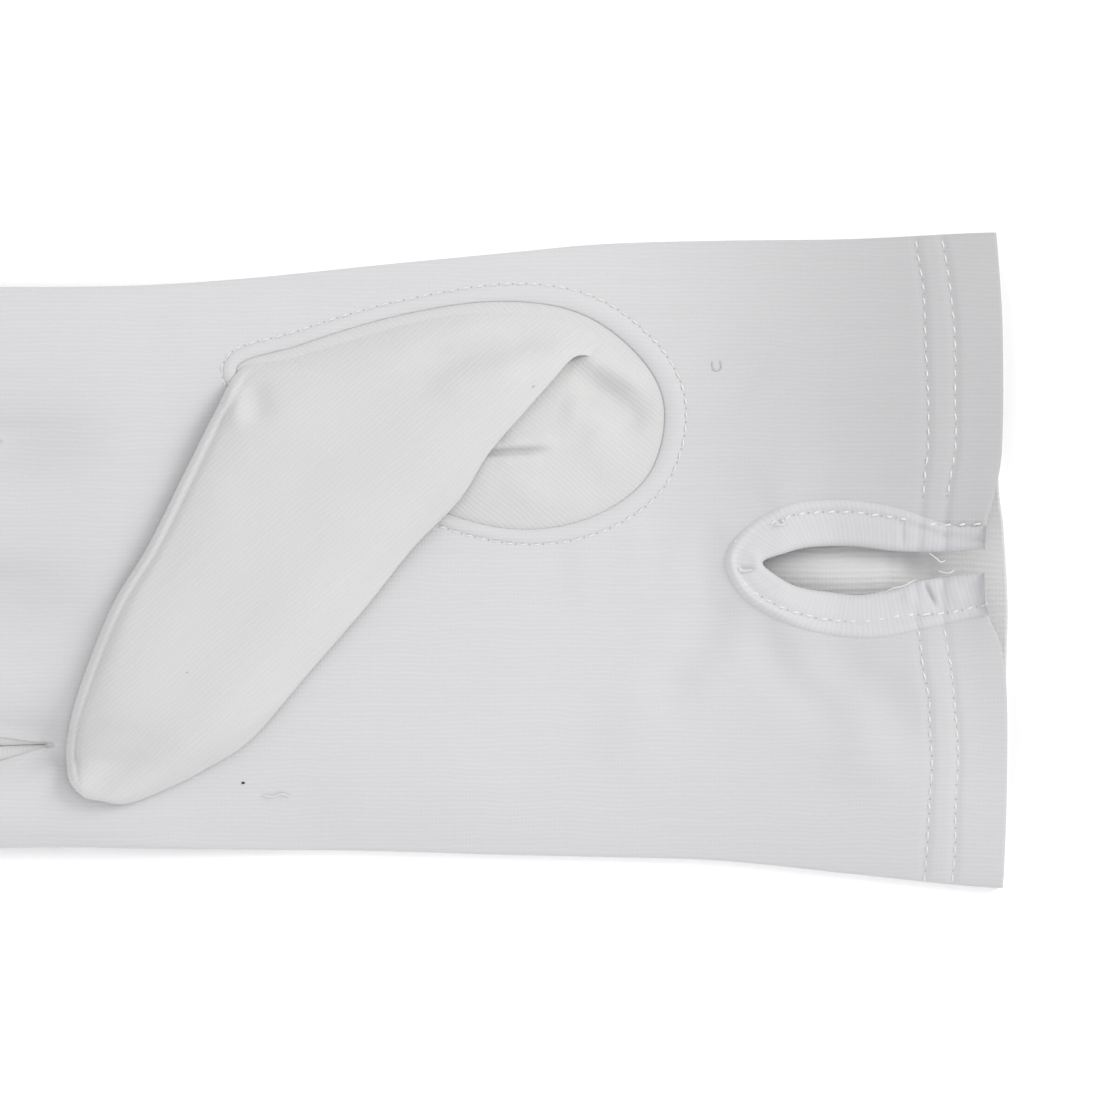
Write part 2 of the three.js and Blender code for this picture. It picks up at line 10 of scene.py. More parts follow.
import bmesh
import bpy
import numpy as np
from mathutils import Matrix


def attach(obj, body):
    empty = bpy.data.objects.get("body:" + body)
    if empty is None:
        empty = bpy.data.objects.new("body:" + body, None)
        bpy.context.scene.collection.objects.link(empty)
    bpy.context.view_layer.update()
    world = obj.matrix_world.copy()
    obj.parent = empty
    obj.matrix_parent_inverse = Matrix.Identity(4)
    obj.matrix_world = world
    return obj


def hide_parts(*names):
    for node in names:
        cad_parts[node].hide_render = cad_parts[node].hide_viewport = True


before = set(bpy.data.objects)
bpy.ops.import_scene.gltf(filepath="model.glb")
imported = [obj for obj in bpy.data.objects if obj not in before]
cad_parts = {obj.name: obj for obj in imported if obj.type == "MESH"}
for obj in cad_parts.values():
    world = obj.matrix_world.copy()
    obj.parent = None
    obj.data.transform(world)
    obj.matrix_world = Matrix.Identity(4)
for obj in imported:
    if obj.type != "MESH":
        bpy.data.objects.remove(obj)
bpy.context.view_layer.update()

MM = 0.001

# %% [markdown]
# The sizes are those of the glove itself. The outline tables are the ones that a cutter would
# keep: shares of the palm length and of the cuff width. A smooth cubic runs through their rows,
# so a few rows give a soft outline.

# %% Sizes in millimetres
CLOTH = 0.9
GLOVE_LENGTH = 251.6
CUFF_WIDTH = 109.6
PALM_LENGTH = 170.3
PALM_HEIGHT = 9.4
SIDE_HEIGHT = 2.4
CROWN_POWER = 4.0
BACK_SEAM = 1.3
SEAM_GAP = 0.3
FINGER_HEIGHT = 7.6
FINGER_SEAM = 4.6
CUFF_X = GLOVE_LENGTH / 2
HALF_CUFF = CUFF_WIDTH / 2
FINGER_REACH = GLOVE_LENGTH - PALM_LENGTH

# %% Outline tables
SIDES = np.array([  # share of the palm length from the cuff, index side, little-finger side
    (-0.05, 1.0, 1.0), (0.02, 1.0, 1.0), (0.156, 0.98, 0.958), (0.284, 0.975, 0.918),
    (0.401, 0.964, 0.907), (0.499, 0.936, 0.9), (0.597, 0.907, 0.891), (0.763, 0.856, 0.88),
    (0.876, 0.836, 0.878), (1.1, 0.834, 0.874)])
CROTCHES = np.array([  # share of half the cuff width, share of the palm length
    (-1.0, 0.925), (-0.56, 0.946), (-0.1, 1.012), (0.36, 1.0), (1.0, 0.99)])
CUFF_EDGE = np.array([  # share of half the cuff width, millimetres that palm and back fall short
    (-1.1, 1.56, 1.56), (-0.96, 0.78, 0.78), (-0.45, 0.52, 0.39), (-0.26, 1.56, 0.13),
    (-0.14, 4.16, 0.0), (0.11, 4.03, 0.78), (0.2, 2.6, 1.43), (0.33, 1.43, 1.69),
    (0.7, 1.17, 1.43), (0.95, 1.82, 2.08), (1.1, 2.34, 2.6)])
FINGERS = {  # both sides at the base and the tip's middle, then base and length shares
    "index": (0.834, 0.387, 0.655, 1.0, 0.9),
    "middle": (0.336, -0.073, 0.145, 1.0, 1.0),
    "ring": (-0.124, -0.533, -0.355, 0.985, 0.94),
    "little": (-0.591, -0.876, -0.785, 0.945, 0.77)}
FINGER_TIP_WIDTH = 0.82


def through(rows, column, at):
    """Cubic Hermite curve through a table's rows: each slope comes from the two rows beside it."""
    key = rows[:, 0]
    value = rows[:, column]
    slope = np.gradient(value, key)
    slope[1:-1] = (value[2:] - value[:-2]) / (key[2:] - key[:-2])
    place = np.clip(at, key[0], key[-1])
    i = np.clip(np.searchsorted(key, place, side="right") - 1, 0, len(key) - 2)
    span = key[i + 1] - key[i]
    t = (place - key[i]) / span
    return ((2 * t**3 - 3 * t**2 + 1) * value[i] + (t**3 - 2 * t**2 + t) * span * slope[i]
            + (3 * t**2 - 2 * t**3) * value[i + 1] + (t**3 - t**2) * span * slope[i + 1])


def smooth(t):
    """Smoothstep of a share, clipped to 0..1."""
    t = np.clip(t, 0, 1)
    return t * t * (3 - 2 * t)


def bell(distance, width):
    """Gaussian bump: 1 at no distance, small beyond twice the width."""
    return np.exp(-((distance / width) ** 2))


def circle(count):
    """Angles of evenly spread places round a circle, the first at 0."""
    return np.linspace(0, 2 * math.pi, count + 1)[:-1]


def distance_along(path):
    """Distance walked along a path in plan at each of its points, from 0."""
    return np.concatenate([[0], np.cumsum(np.hypot(*np.diff(path[:, :2], axis=0).T))])


def flattened_circle(count, power):
    """Closed section, from -1 to 1 across and up: a circle made squarer by a power below 1."""
    turn = (np.arange(count) + 0.5) / count * 2 * math.pi
    across = np.sign(np.cos(turn)) * np.abs(np.cos(turn)) ** power
    return across, np.sign(np.sin(turn)) * np.abs(np.sin(turn)) ** power


def sides_at(x):
    """Index and little-finger sides at a place along the glove, in millimetres from the middle."""
    at = (CUFF_X - x) / PALM_LENGTH
    return HALF_CUFF * through(SIDES, 1, at), -HALF_CUFF * through(SIDES, 2, at)


print("Palm is", round(float(np.subtract(*sides_at(20.0))), 1), "mm wide lying flat")

# %% [markdown]
# Soft cloth is never a plain dome. Named folds are long rounded ridges or valleys with a place,
# a depth and a width, and a sum of a few slow waves gives the slight unevenness that every
# washed knit has. All folds are given where they lie on the cloth, in the photograph's frame.

# %% The palm's surface
PIXELS_PER_MM = 6.0
FRAME_MIDDLE = (255.0, 560.0)


def spot(px, py):
    """Place on the glove, in millimetres, of a place in the photograph's frame."""
    return (px - FRAME_MIDDLE[0]) / PIXELS_PER_MM, (FRAME_MIDDLE[1] - py) / PIXELS_PER_MM


PALM_FOLDS = [  # places along the fold in the frame, height in millimetres, width in millimetres
    ([(728, 585), (700, 640), (650, 720)], -1.3, 4.5),
    ([(745, 610), (790, 680), (860, 745)], -1.4, 4.0),
    ([(770, 640), (830, 715), (915, 800)], 0.9, 5.5),
    ([(715, 640), (670, 700), (600, 770)], 0.8, 6.0),
    ([(800, 650), (880, 690), (920, 760)], -0.8, 4.5),
    ([(560, 575), (660, 560)], 0.35, 8.0),
    ([(722, 520), (702, 556), (712, 600)], -0.7, 3.0),
    ([(760, 500), (800, 486), (880, 488)], 0.45, 3.6),
    ([(640, 545), (690, 500), (760, 470)], -0.4, 5.0),
    ([(150, 330), (300, 300)], 0.3, 6.0),
    ([(-20, 440), (14, 441)], -1.1, 2.4),
    ([(300, 800), (400, 780), (520, 775)], 0.4, 6.0),
    ([(690, 330), (760, 400)], -0.35, 7.0),
]
CUFF_FOLDS = [
    ([(780, 560), (990, 560)], -2.6, 15.0),
    ([(850, 658), (960, 668)], 0.4, 4.0),
    ([(972, 300), (976, 840)], -0.8, 6.0),
]
HEM_ROWS = np.array([  # place down the frame, and the two stitch rows across it, in its pixels
    (230, 916, 942), (254, 919, 946), (290, 924, 951), (340, 925.5, 955), (400, 928, 955),
    (446, 928, 955.5), (480, 924.5, 950), (515, 922, 946), (610, 916, 943), (640, 920, 946),
    (668, 923, 951), (700, 929, 954), (733, 930, 957), (762, 932, 958), (800, 930, 956),
    (850, 928, 956), (890, 925, 953)])
HEM_GROOVE = 0.35
GROOVE_WIDTH = 0.75
HEM_RAISE = 0.25


def hem_row(column, y):
    """Place along the glove of a stitch row of the hem."""
    px = through(HEM_ROWS, column, FRAME_MIDDLE[1] - PIXELS_PER_MM * y)
    return (px - FRAME_MIDDLE[0]) / PIXELS_PER_MM


def hem_height(x, y):
    """Grooves along both stitch rows, with the cloth between and beyond them slightly raised."""
    first, second = x - hem_row(1, y), x - hem_row(2, y)
    grooves = bell(first, GROOVE_WIDTH) + bell(second, GROOVE_WIDTH)
    return HEM_RAISE * smooth((first + 1.0) / 1.5) - HEM_GROOVE * grooves


def fold_height(fold, x, y):
    """Gaussian of the distance to a bent line, times the fold's height, fading at both ends."""
    places, height, width = fold
    nearest = np.full(np.broadcast(x, y).shape, np.inf)
    part = np.zeros(nearest.shape)
    for number, (first, second) in enumerate(zip(places, places[1:])):
        start = np.array(spot(*first))
        run = np.array(spot(*second)) - start
        share = np.clip(((x - start[0]) * run[0] + (y - start[1]) * run[1]) / run.dot(run), 0, 1)
        distance = np.hypot(x - start[0] - share * run[0], y - start[1] - share * run[1])
        part = np.where(distance < nearest, (number + share) / (len(places) - 1), part)
        nearest = np.minimum(nearest, distance)
    fade = smooth(0.15 + np.minimum(part, 1 - part) / 0.35)
    return height * fade * bell(nearest, width)


def fold_heights(folds, x, y):
    """Sum of several folds."""
    return sum(fold_height(fold, x, y) for fold in folds)


def unevenness(x, y, wavelength, seed):
    """Mean of eight sine waves in seeded directions and phases, from -1 to 1."""
    draw = np.random.default_rng(seed)
    total = 0.0
    for angle, phase, stretch in draw.uniform(0, 1, (8, 3)):
        turn = 2 * math.pi * angle
        length = wavelength * (0.7 + 0.8 * stretch)
        forward = x * math.cos(turn) + y * math.sin(turn)
        total = total + np.sin(2 * math.pi * (forward / length + phase))
    return total / 8


print("Named folds on the palm:", len(PALM_FOLDS), "and at the cuff:", len(CUFF_FOLDS))

# %% [markdown]
# Every sheet of cloth here is a grid: rows along it, columns across it. The helpers below turn
# such a grid of points into a mesh with a UV map in millimetres of cloth. The knit patterns
# read that map, so wales keep their true pitch and follow the cloth.

# %% Mesh helpers


def grid_faces(rows, columns, closed=False, first=0):
    """Quads between neighbouring rows and columns; closed joins the last column to the first."""
    row, column = np.meshgrid(np.arange(rows - 1), np.arange(columns - (not closed)), indexing="ij")
    ahead = (column + 1) % columns
    quads = np.stack([row * columns + column, row * columns + ahead,
                      (row + 1) * columns + ahead, (row + 1) * columns + column], axis=-1)
    return quads.reshape(-1, 4) + first


def mesh_from(name, points, faces, uv):
    """Blender mesh from points in millimetres, quads and a UV place for each point."""
    mesh = bpy.data.meshes.new(name)
    mesh.vertices.add(len(points))
    mesh.vertices.foreach_set("co", (np.asarray(points) * MM).astype(np.float32).ravel())
    mesh.loops.add(faces.size)
    mesh.loops.foreach_set("vertex_index", faces.astype(np.int32).ravel())
    mesh.polygons.add(len(faces))
    mesh.polygons.foreach_set("loop_start", np.arange(0, faces.size, 4, dtype=np.int32))
    layer = mesh.uv_layers.new(name="cloth")
    layer.data.foreach_set("uv", np.asarray(uv)[faces.ravel()].astype(np.float32).ravel())
    mesh.update(calc_edges=True)
    return mesh


def welded(mesh, distance=0.004):
    """Merge points closer than a distance in millimetres, drop collapsed faces, shade smooth."""
    work = bmesh.new()
    work.from_mesh(mesh)
    bmesh.ops.remove_doubles(work, verts=work.verts, dist=distance * MM)
    bmesh.ops.dissolve_degenerate(work, dist=distance * MM / 4, edges=work.edges)
    loose = [vertex for vertex in work.verts if not vertex.link_faces]
    bmesh.ops.delete(work, geom=loose, context="VERTS")
    work.to_mesh(mesh)
    work.free()
    mesh.polygons.foreach_set("use_smooth", np.ones(len(mesh.polygons), dtype=bool))
    return mesh


def thickened(mesh, thickness):
    """Mesh with a wall grown inwards from its outer side, with its open edges closed."""
    holder = in_scene("thickening", mesh)
    wall = holder.modifiers.new("wall", "SOLIDIFY")
    wall.thickness = thickness * MM
    wall.offset = -1
    state = bpy.context.evaluated_depsgraph_get()
    grown = bpy.data.meshes.new_from_object(holder.evaluated_get(state))
    bpy.data.objects.remove(holder)
    return grown


def capped(grid, uv):
    """Grid with both ends closed to a point in their middle, and its UV to match."""
    ends = [np.repeat(row.mean(axis=0)[None, None], grid.shape[1], axis=1) for row in (grid[0], grid[-1])]
    return np.concatenate([ends[0], grid, ends[1]]), np.concatenate([uv[:1], uv, uv[-1:]])


def joined(name, meshes):
    """One mesh from several."""
    work = bmesh.new()
    for mesh in meshes:
        work.from_mesh(mesh)
    whole = bpy.data.meshes.new(name)
    work.to_mesh(whole)
    work.free()
    return whole


def in_scene(name, data):
    """Object at the origin that holds a mesh, lamp or camera."""
    thing = bpy.data.objects.new(name, data)
    bpy.context.scene.collection.objects.link(thing)
    return thing


def piece(name, meshes, material, nodes=()):
    """One object at the origin from several meshes, riding on the part's only body."""
    whole = joined(name, meshes)
    whole.materials.append(material)
    thing = in_scene(name, whole)
    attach(thing, "root")
    if nodes:
        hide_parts(*nodes)
    triangles = sum(len(face.vertices) - 2 for face in whole.polygons)
    print(f"{name}: {triangles} triangles")
    return thing


# %% [markdown]
# Knitted cotton shows wales, fine raised lines that run along the cloth, crossed by the small
# loops of each course. The material works both out from the UV map in millimetres: a cosine
# across the wales for the ribs, a shifted cosine along them for the loops, and stretched noise
# that makes some wales fuller than others. The height drives a bump; the colour is painted
# darker in the grooves as painted shade, and its tone varies at random with the fuller wales.

# %% Knit material


def link(tree, source, target):
    """Join two sockets of a material."""
    tree.links.new(source, target)


def calc(tree, operation, first, second=None, third=None):
    """Math node on values or sockets."""
    node = tree.nodes.new("ShaderNodeMath")
    node.operation = operation
    for place, value in enumerate((first, second, third)):
        if value is None:
            continue
        if isinstance(value, (int, float)):
            node.inputs[place].default_value = value
        else:
            link(tree, value, node.inputs[place])
    return node.outputs[0]


def noise(tree, vector, scale, detail):
    """Socket of a noise texture, read at a vector socket."""
    node = tree.nodes.new("ShaderNodeTexNoise")
    node.inputs["Scale"].default_value = scale
    node.inputs["Detail"].default_value = detail
    link(tree, vector, node.inputs["Vector"])
    return node.outputs["Fac"]


def mixed(tree, factor, first, second):
    """Socket of a colour between two, each given as red, green and blue."""
    node = tree.nodes.new("ShaderNodeMix")
    node.data_type = "RGBA"
    node.clamp_factor = True
    link(tree, factor, node.inputs["Factor"])
    node.inputs["A"].default_value = (*first, 1)
    node.inputs["B"].default_value = (*second, 1)
    return node.outputs["Result"]


def stretched(tree, vector, scale):
    """Vector socket, scaled differently along each axis."""
    node = tree.nodes.new("ShaderNodeMapping")
    node.inputs["Scale"].default_value = scale
    link(tree, vector, node.inputs["Vector"])
    return node.outputs["Vector"]


def new_material(name):
    """Material with its node tree and shader."""
    material = bpy.data.materials.new(name)
    material.use_nodes = True
    return material, material.node_tree, material.node_tree.nodes["Principled BSDF"]


# Painted shade: the cloth's colour is darkened towards the cuff, where less light falls on it.
CUFF_PAINTED_SHADE = 0.23


def painted_shade_at_cuff(tree, colour):
    """Cloth colour darkened softly towards the cuff by painted shade, most of all on the index side."""
    here = tree.nodes.new("ShaderNodeTexCoord")
    axes = tree.nodes.new("ShaderNodeSeparateXYZ")
    link(tree, here.outputs["Object"], axes.inputs[0])
    ramps = []
    for axis, low, high, first, last in ((0, 0.045, 0.12, 0.0, 1.0), (1, -0.05, 0.03, 0.25, 1.0)):
        ramp = tree.nodes.new("ShaderNodeMapRange")
        ramp.interpolation_type = "SMOOTHSTEP"
        ramp.inputs["From Min"].default_value = low
        ramp.inputs["From Max"].default_value = high
        ramp.inputs["To Min"].default_value = first
        ramp.inputs["To Max"].default_value = last
        link(tree, axes.outputs[axis], ramp.inputs["Value"])
        ramps.append(ramp.outputs["Result"])
    cuff_shade_share = calc(tree, "MULTIPLY", calc(tree, "MULTIPLY", ramps[0], ramps[1]), CUFF_PAINTED_SHADE)
    scale = tree.nodes.new("ShaderNodeVectorMath")
    scale.operation = "SCALE"
    link(tree, colour, scale.inputs[0])
    link(tree, calc(tree, "SUBTRACT", 1.0, cuff_shade_share), scale.inputs["Scale"])
    return scale.outputs[0]


def knit(name, colour, shade, wale=0.75, course=0.62, rib_depth=0.03, loop_depth=0.006, strength=0.8):
    """Cotton knit: wales run along U and repeat across V, both in millimetres of cloth."""
    material, tree, shader = new_material(name)
    cloth_map = tree.nodes.new("ShaderNodeUVMap")
    cloth_map.uv_map = "cloth"
    place = cloth_map.outputs["UV"]
    split = tree.nodes.new("ShaderNodeSeparateXYZ")
    link(tree, place, split.inputs[0])
    along, across = split.outputs[0], split.outputs[1]
    wander = noise(tree, place, 0.09, 1.0)
    shifted = calc(tree, "MULTIPLY_ADD", wander, 1.6, across)
    rib = calc(tree, "COSINE", calc(tree, "MULTIPLY", shifted, 2 * math.pi / wale))
    half_step = calc(tree, "MULTIPLY", rib, 0.9)
    loops = calc(tree, "COSINE", calc(tree, "MULTIPLY_ADD", along, 2 * math.pi / course, half_step))
    fullness = noise(tree, stretched(tree, place, (0.035, 1.1, 1.0)), 1.0, 3.0)
    breaks = noise(tree, stretched(tree, place, (0.55, 3.2, 1.0)), 1.0, 2.0)
    grain = noise(tree, place, 3.1, 2.0)
    rib_share = calc(tree, "MULTIPLY_ADD", fullness, 1.6, -0.1)
    rib_share = calc(tree, "MULTIPLY_ADD", calc(tree, "SUBTRACT", breaks, 0.5), 2.2, rib_share)
    ribs = calc(tree, "MULTIPLY", rib, rib_share)
    height = calc(tree, "MULTIPLY", ribs, rib_depth)
    height = calc(tree, "MULTIPLY_ADD", loops, loop_depth, height)
    height = calc(tree, "MULTIPLY_ADD", grain, 0.045, height)
    bump = tree.nodes.new("ShaderNodeBump")
    bump.inputs["Strength"].default_value = strength
    bump.inputs["Distance"].default_value = MM
    link(tree, height, bump.inputs["Height"])
    link(tree, bump.outputs["Normal"], shader.inputs["Normal"])
    # Painted shade: the colour darkens in the rib grooves and between loops; fuller wales and breaks add
    # random tone.
    groove_shade_and_tone = calc(tree, "MULTIPLY_ADD", ribs, 0.3, 0.6)
    groove_shade_and_tone = calc(tree, "MULTIPLY_ADD", loops, 0.06, groove_shade_and_tone)
    groove_shade_and_tone = calc(tree, "MULTIPLY_ADD", calc(tree, "SUBTRACT", fullness, 0.5), 0.9, groove_shade_and_tone)
    groove_shade_and_tone = calc(tree, "MULTIPLY_ADD", calc(tree, "SUBTRACT", breaks, 0.5), 0.8, groove_shade_and_tone)
    link(tree, painted_shade_at_cuff(tree, mixed(tree, groove_shade_and_tone, shade, colour)), shader.inputs["Base Color"])
    shader.inputs["Roughness"].default_value = 0.95
    shader.inputs["Specular IOR Level"].default_value = 0.15
    return material


PALM_CLOTH = knit("palm_knit", (0.566, 0.563, 0.57), (0.53, 0.527, 0.53), rib_depth=0.02)
THUMB_CLOTH = knit("thumb_knit", (0.563, 0.56, 0.556), (0.527, 0.524, 0.518), wale=0.73, rib_depth=0.02)
# The back's knit is paler than the palm's: painted light for the light that reaches the back inside the
# vent.
BACK_CLOTH_PAINTED_LIGHT = knit("back_knit_painted_light", (0.73, 0.725, 0.72), (0.66, 0.655, 0.65), wale=0.95, rib_depth=0.035)
STRIP_CLOTH = knit("side_strip_knit", (0.566, 0.56, 0.555), (0.53, 0.523, 0.515), wale=0.7, rib_depth=0.03)
RIBBED = knit("ribbed_binding_knit", (0.61, 0.607, 0.622), (0.565, 0.562, 0.573), wale=0.78, rib_depth=0.02)
print("Knit materials:", [m.name for m in bpy.data.materials if "knit" in m.name])

# %% [markdown]
# The front sheet is one smooth height over the plan. On the palm it is the crown of the palm;
# within 24 mm of the finger crotches it turns into four finger tops with valleys between them.
# Side folds are arcs that start 60 degrees up from the widest place and run down to the seam.

# %% Front height
FINGER_RADIUS = 2.6
FOLD_START = math.radians(60)
FOLD_RISE = 1 + math.sin(FOLD_START)
FOLD_REACH = 1 - math.cos(FOLD_START)
CROTCH_BLEND = 24.0
FINGER_CROWN = 2.2


def crotch_x(y):
    """Place along the glove of the line through the finger crotches."""
    return CUFF_X - PALM_LENGTH * through(CROTCHES, 1, y / HALF_CUFF)


def side_radius(x):
    """Radius of the side fold: thin beside the palm, as round as a finger near the crotches."""
    share = (CUFF_X - x) / PALM_LENGTH
    return SIDE_HEIGHT / 2 + (FINGER_RADIUS - SIDE_HEIGHT / 2) * smooth((share - 0.68) / 0.25)


def finger_crown(across, radius, height):
    """Height of a finger's top between its folds: the folds' edge plus a flat-topped crown."""
    edge = np.maximum(FOLD_RISE * radius, BACK_SEAM + 0.9)
    return edge + (np.maximum(height, edge) - edge) * (1 - np.abs(across) ** FINGER_CROWN)


def crotch_height(y):
    """Section along the crotch line: four finger tops, with the seam's height between them."""
    best = np.full(np.shape(y), FINGER_SEAM)
    for index, little, *_ in FINGERS.values():
        middle = (index + little) / 2 * HALF_CUFF
        half = (index - little) / 2 * HALF_CUFF - FINGER_RADIUS * FOLD_REACH
        across = (y - middle) / half
        top = finger_crown(np.clip(across, -1, 1), FINGER_RADIUS, FINGER_HEIGHT)
        beyond = np.clip(np.abs(across) - 1, 0, 1) * half
        top = top - beyond * math.tan(math.pi / 2 - FOLD_START)
        best = np.maximum(best, top)
    return best


def front_height(x, y):
    """Palm top that turns into the crotch section near the finger crotches."""
    index, little = sides_at(x)
    radius = side_radius(x)
    inner = radius * FOLD_REACH
    across = np.clip((2 * y - index - little) / (index - little - 2 * inner), -1, 1)
    crown = 1 - np.abs(across) ** CROWN_POWER
    folds = fold_heights(PALM_FOLDS + CUFF_FOLDS, x, y)
    folds = folds + 0.25 * unevenness(x, y, 42, 3) + 0.05 * unevenness(x, y, 13, 5)
    low = FOLD_RISE * radius
    palm = low + crown * (PALM_HEIGHT - low) + np.minimum(crown * 3, 1) * folds
    palm = palm + hem_height(x, y)
    near = smooth(1 - (x - crotch_x(y)) / CROTCH_BLEND)
    inside = np.abs(across) < 1
    return np.where(inside, palm + near * (crotch_height(y) - palm), palm)


heights = [round(float(front_height(x, 0.0)), 1) for x in (-44.0, -20.0, 40.0, 120.0)]
print("Height along the palm's middle, from the crotches to the cuff:", heights)

# %% [markdown]
# The palm patch keeps the same columns from the cuff to the crotches. At the crotch line each
# finger takes over the columns that are its own, so palm and fingers share their edge points and
# are welded there. A finger's section is the same arc-crown-arc, and it closes at the tip.

# %% Palm and finger grids
CELL = 1.05
FINE_PART = 17.0
FOLD_COLUMNS = 7
CROTCH_POINT = 0.3
CROTCH_EASE = 0.16
TIP_START = 0.84


def arc(last):
    """Angles of a side fold, from where the top ends to its last angle."""
    return FOLD_START + (last - FOLD_START) * np.arange(1, FOLD_COLUMNS + 1) / FOLD_COLUMNS


def seam_angle(radius, height):
    """Angle at which a fold of that radius reaches a height above the table."""
    return np.arcsin(np.clip((height - radius) / radius, -1, 1))


def seam_height(at):
    """Height of the seam over a side strip; it runs down to the back's seam before the tip."""
    return BACK_SEAM + (FINGER_SEAM - BACK_SEAM) * (1 - smooth((at - 0.7) / 0.2))


def up_to_tip(first, straight, round_steps):
    """Shares of a finger's length: even along its straight part, closer together at the tip."""
    turn = np.linspace(0, math.pi / 2, round_steps)[1:]
    tip = TIP_START + (1 - TIP_START) * np.sin(turn)
    return np.concatenate([np.linspace(first, TIP_START, straight), tip])[:, None]


def finger_plan(name, at):
    """Place along the glove, middle, half width and height of a finger at shares of its length."""
    index, little, tip, base, reach = FINGERS[name]
    length = reach * FINGER_REACH
    middle = (index + little) / 2 * HALF_CUFF
    width = (index - little) * HALF_CUFF * (1 + (FINGER_TIP_WIDTH - 1) * np.clip(at, 0, 1))
    middle = middle + (tip * HALF_CUFF - middle) * at
    past = np.clip(at - TIP_START, 0, 1) / (1 - TIP_START)
    round_off = np.sqrt(np.clip(1 - past**2.3, 0, 1))
    x = CUFF_X - base * PALM_LENGTH - at * length
    return x, middle, width / 2 * round_off, FINGER_HEIGHT * (0.33 + 0.67 * round_off)


def crotch_columns():
    """Places across at the crotch line, with each finger's first and last column."""
    places = []
    ranges = {}
    for name, (index, little, *_) in FINGERS.items():
        inset = FINGER_RADIUS * FOLD_REACH
        upper = index * HALF_CUFF - inset if name == "index" else gap_end
        if name == "little":
            lower = little * HALF_CUFF + inset
        else:
            following = list(FINGERS)[list(FINGERS).index(name) + 1]
            gap_middle = (little + FINGERS[following][0]) / 2 * HALF_CUFF
            lower, gap_end = gap_middle + CROTCH_POINT, gap_middle - CROTCH_POINT
        count = int(round((upper - lower) / CELL))
        first = len(places)
        places += list(np.linspace(upper, lower, count + 1))
        ranges[name] = (first, first + count)
        if name != "little":
            places += list(np.linspace(lower, gap_end, 4)[1:-1])
    return np.array(places), ranges


COLUMNS, FINGER_COLUMNS = crotch_columns()
print("Columns across the palm:", len(COLUMNS), "cells of about", CELL, "mm")


def with_folds(x, top_y, top_z, radius, ends, grows=(1.0, 1.0)):
    """Adds both side folds to rows of top points, down to each side's last height."""
    parts_y, parts_z = [top_y], [top_z]
    for sign, last, grow, column in ((1, ends[0], grows[0], 0), (-1, ends[1], grows[1], -1)):
        r = radius[:, None]
        angles = arc(np.minimum(seam_angle(r, last), math.radians(50)))
        drop = math.sin(FOLD_START) - np.sin(angles)
        drop = drop / drop[:, -1:]
        fold_y = top_y[:, [column]] + grow * sign * r * (np.cos(angles) - math.cos(FOLD_START))
        fold_z = top_z[:, [column]] + grow * (last - top_z[:, [column]]) * drop
        if column == 0:
            parts_y.insert(0, fold_y[:, ::-1])
            parts_z.insert(0, fold_z[:, ::-1])
        else:
            parts_y.append(fold_y)
            parts_z.append(fold_z)
    y = np.concatenate(parts_y, axis=1)
    z = np.concatenate(parts_z, axis=1)
    return np.stack([np.broadcast_to(x, y.shape), y, z], axis=-1)


def palm_grid(edge_column):
    """Places in plan, in rows from the crotch line to the cuff edge; the hem's rows are closer."""
    coarse = np.arange(PALM_LENGTH, FINE_PART, -CELL)
    share = np.concatenate([coarse, np.linspace(FINE_PART, 0, 40)])[:, None] / PALM_LENGTH
    ends = np.array([COLUMNS[0], COLUMNS[-1]])
    x = np.broadcast_to(CUFF_X - share * PALM_LENGTH, (len(share), len(COLUMNS)))
    for _ in range(4):
        index, little = sides_at(x)
        inner = side_radius(x) * FOLD_REACH
        part = (COLUMNS - ends[1]) / (ends[0] - ends[1])
        y = (little + inner) + (index - little - 2 * inner) * part
        last = CUFF_X - through(CUFF_EDGE, edge_column, y / HALF_CUFF)
        first = crotch_x(y) + 1.6 * sum(bell(y - middle, 1.7) for middle in GAP_MIDDLES)
        x = last + (first - last) * share
    return x, y


sides_of_fingers = list(FINGERS.values())
GAP_MIDDLES = [(a[1] + b[0]) / 2 * HALF_CUFF for a, b in zip(sides_of_fingers, sides_of_fingers[1:])]


def front_patches():
    """Grids of the palm and of the four finger tops, which start on the palm's first row."""
    x, y = palm_grid(1)
    radius = side_radius(x[:, 0])
    grid = with_folds(x[:, :1], y, front_height(x, y), radius, (BACK_SEAM, BACK_SEAM))
    grid[:, FOLD_COLUMNS:-FOLD_COLUMNS, 0] = x
    grid[:, -FOLD_COLUMNS:, 0] = x[:, -1:]
    patches = [grid]
    for name, (first, last) in FINGER_COLUMNS.items():
        base = grid[0, FOLD_COLUMNS:-FOLD_COLUMNS][first:last + 1]
        patches.append(finger_patch(name, *base.T))
    return patches


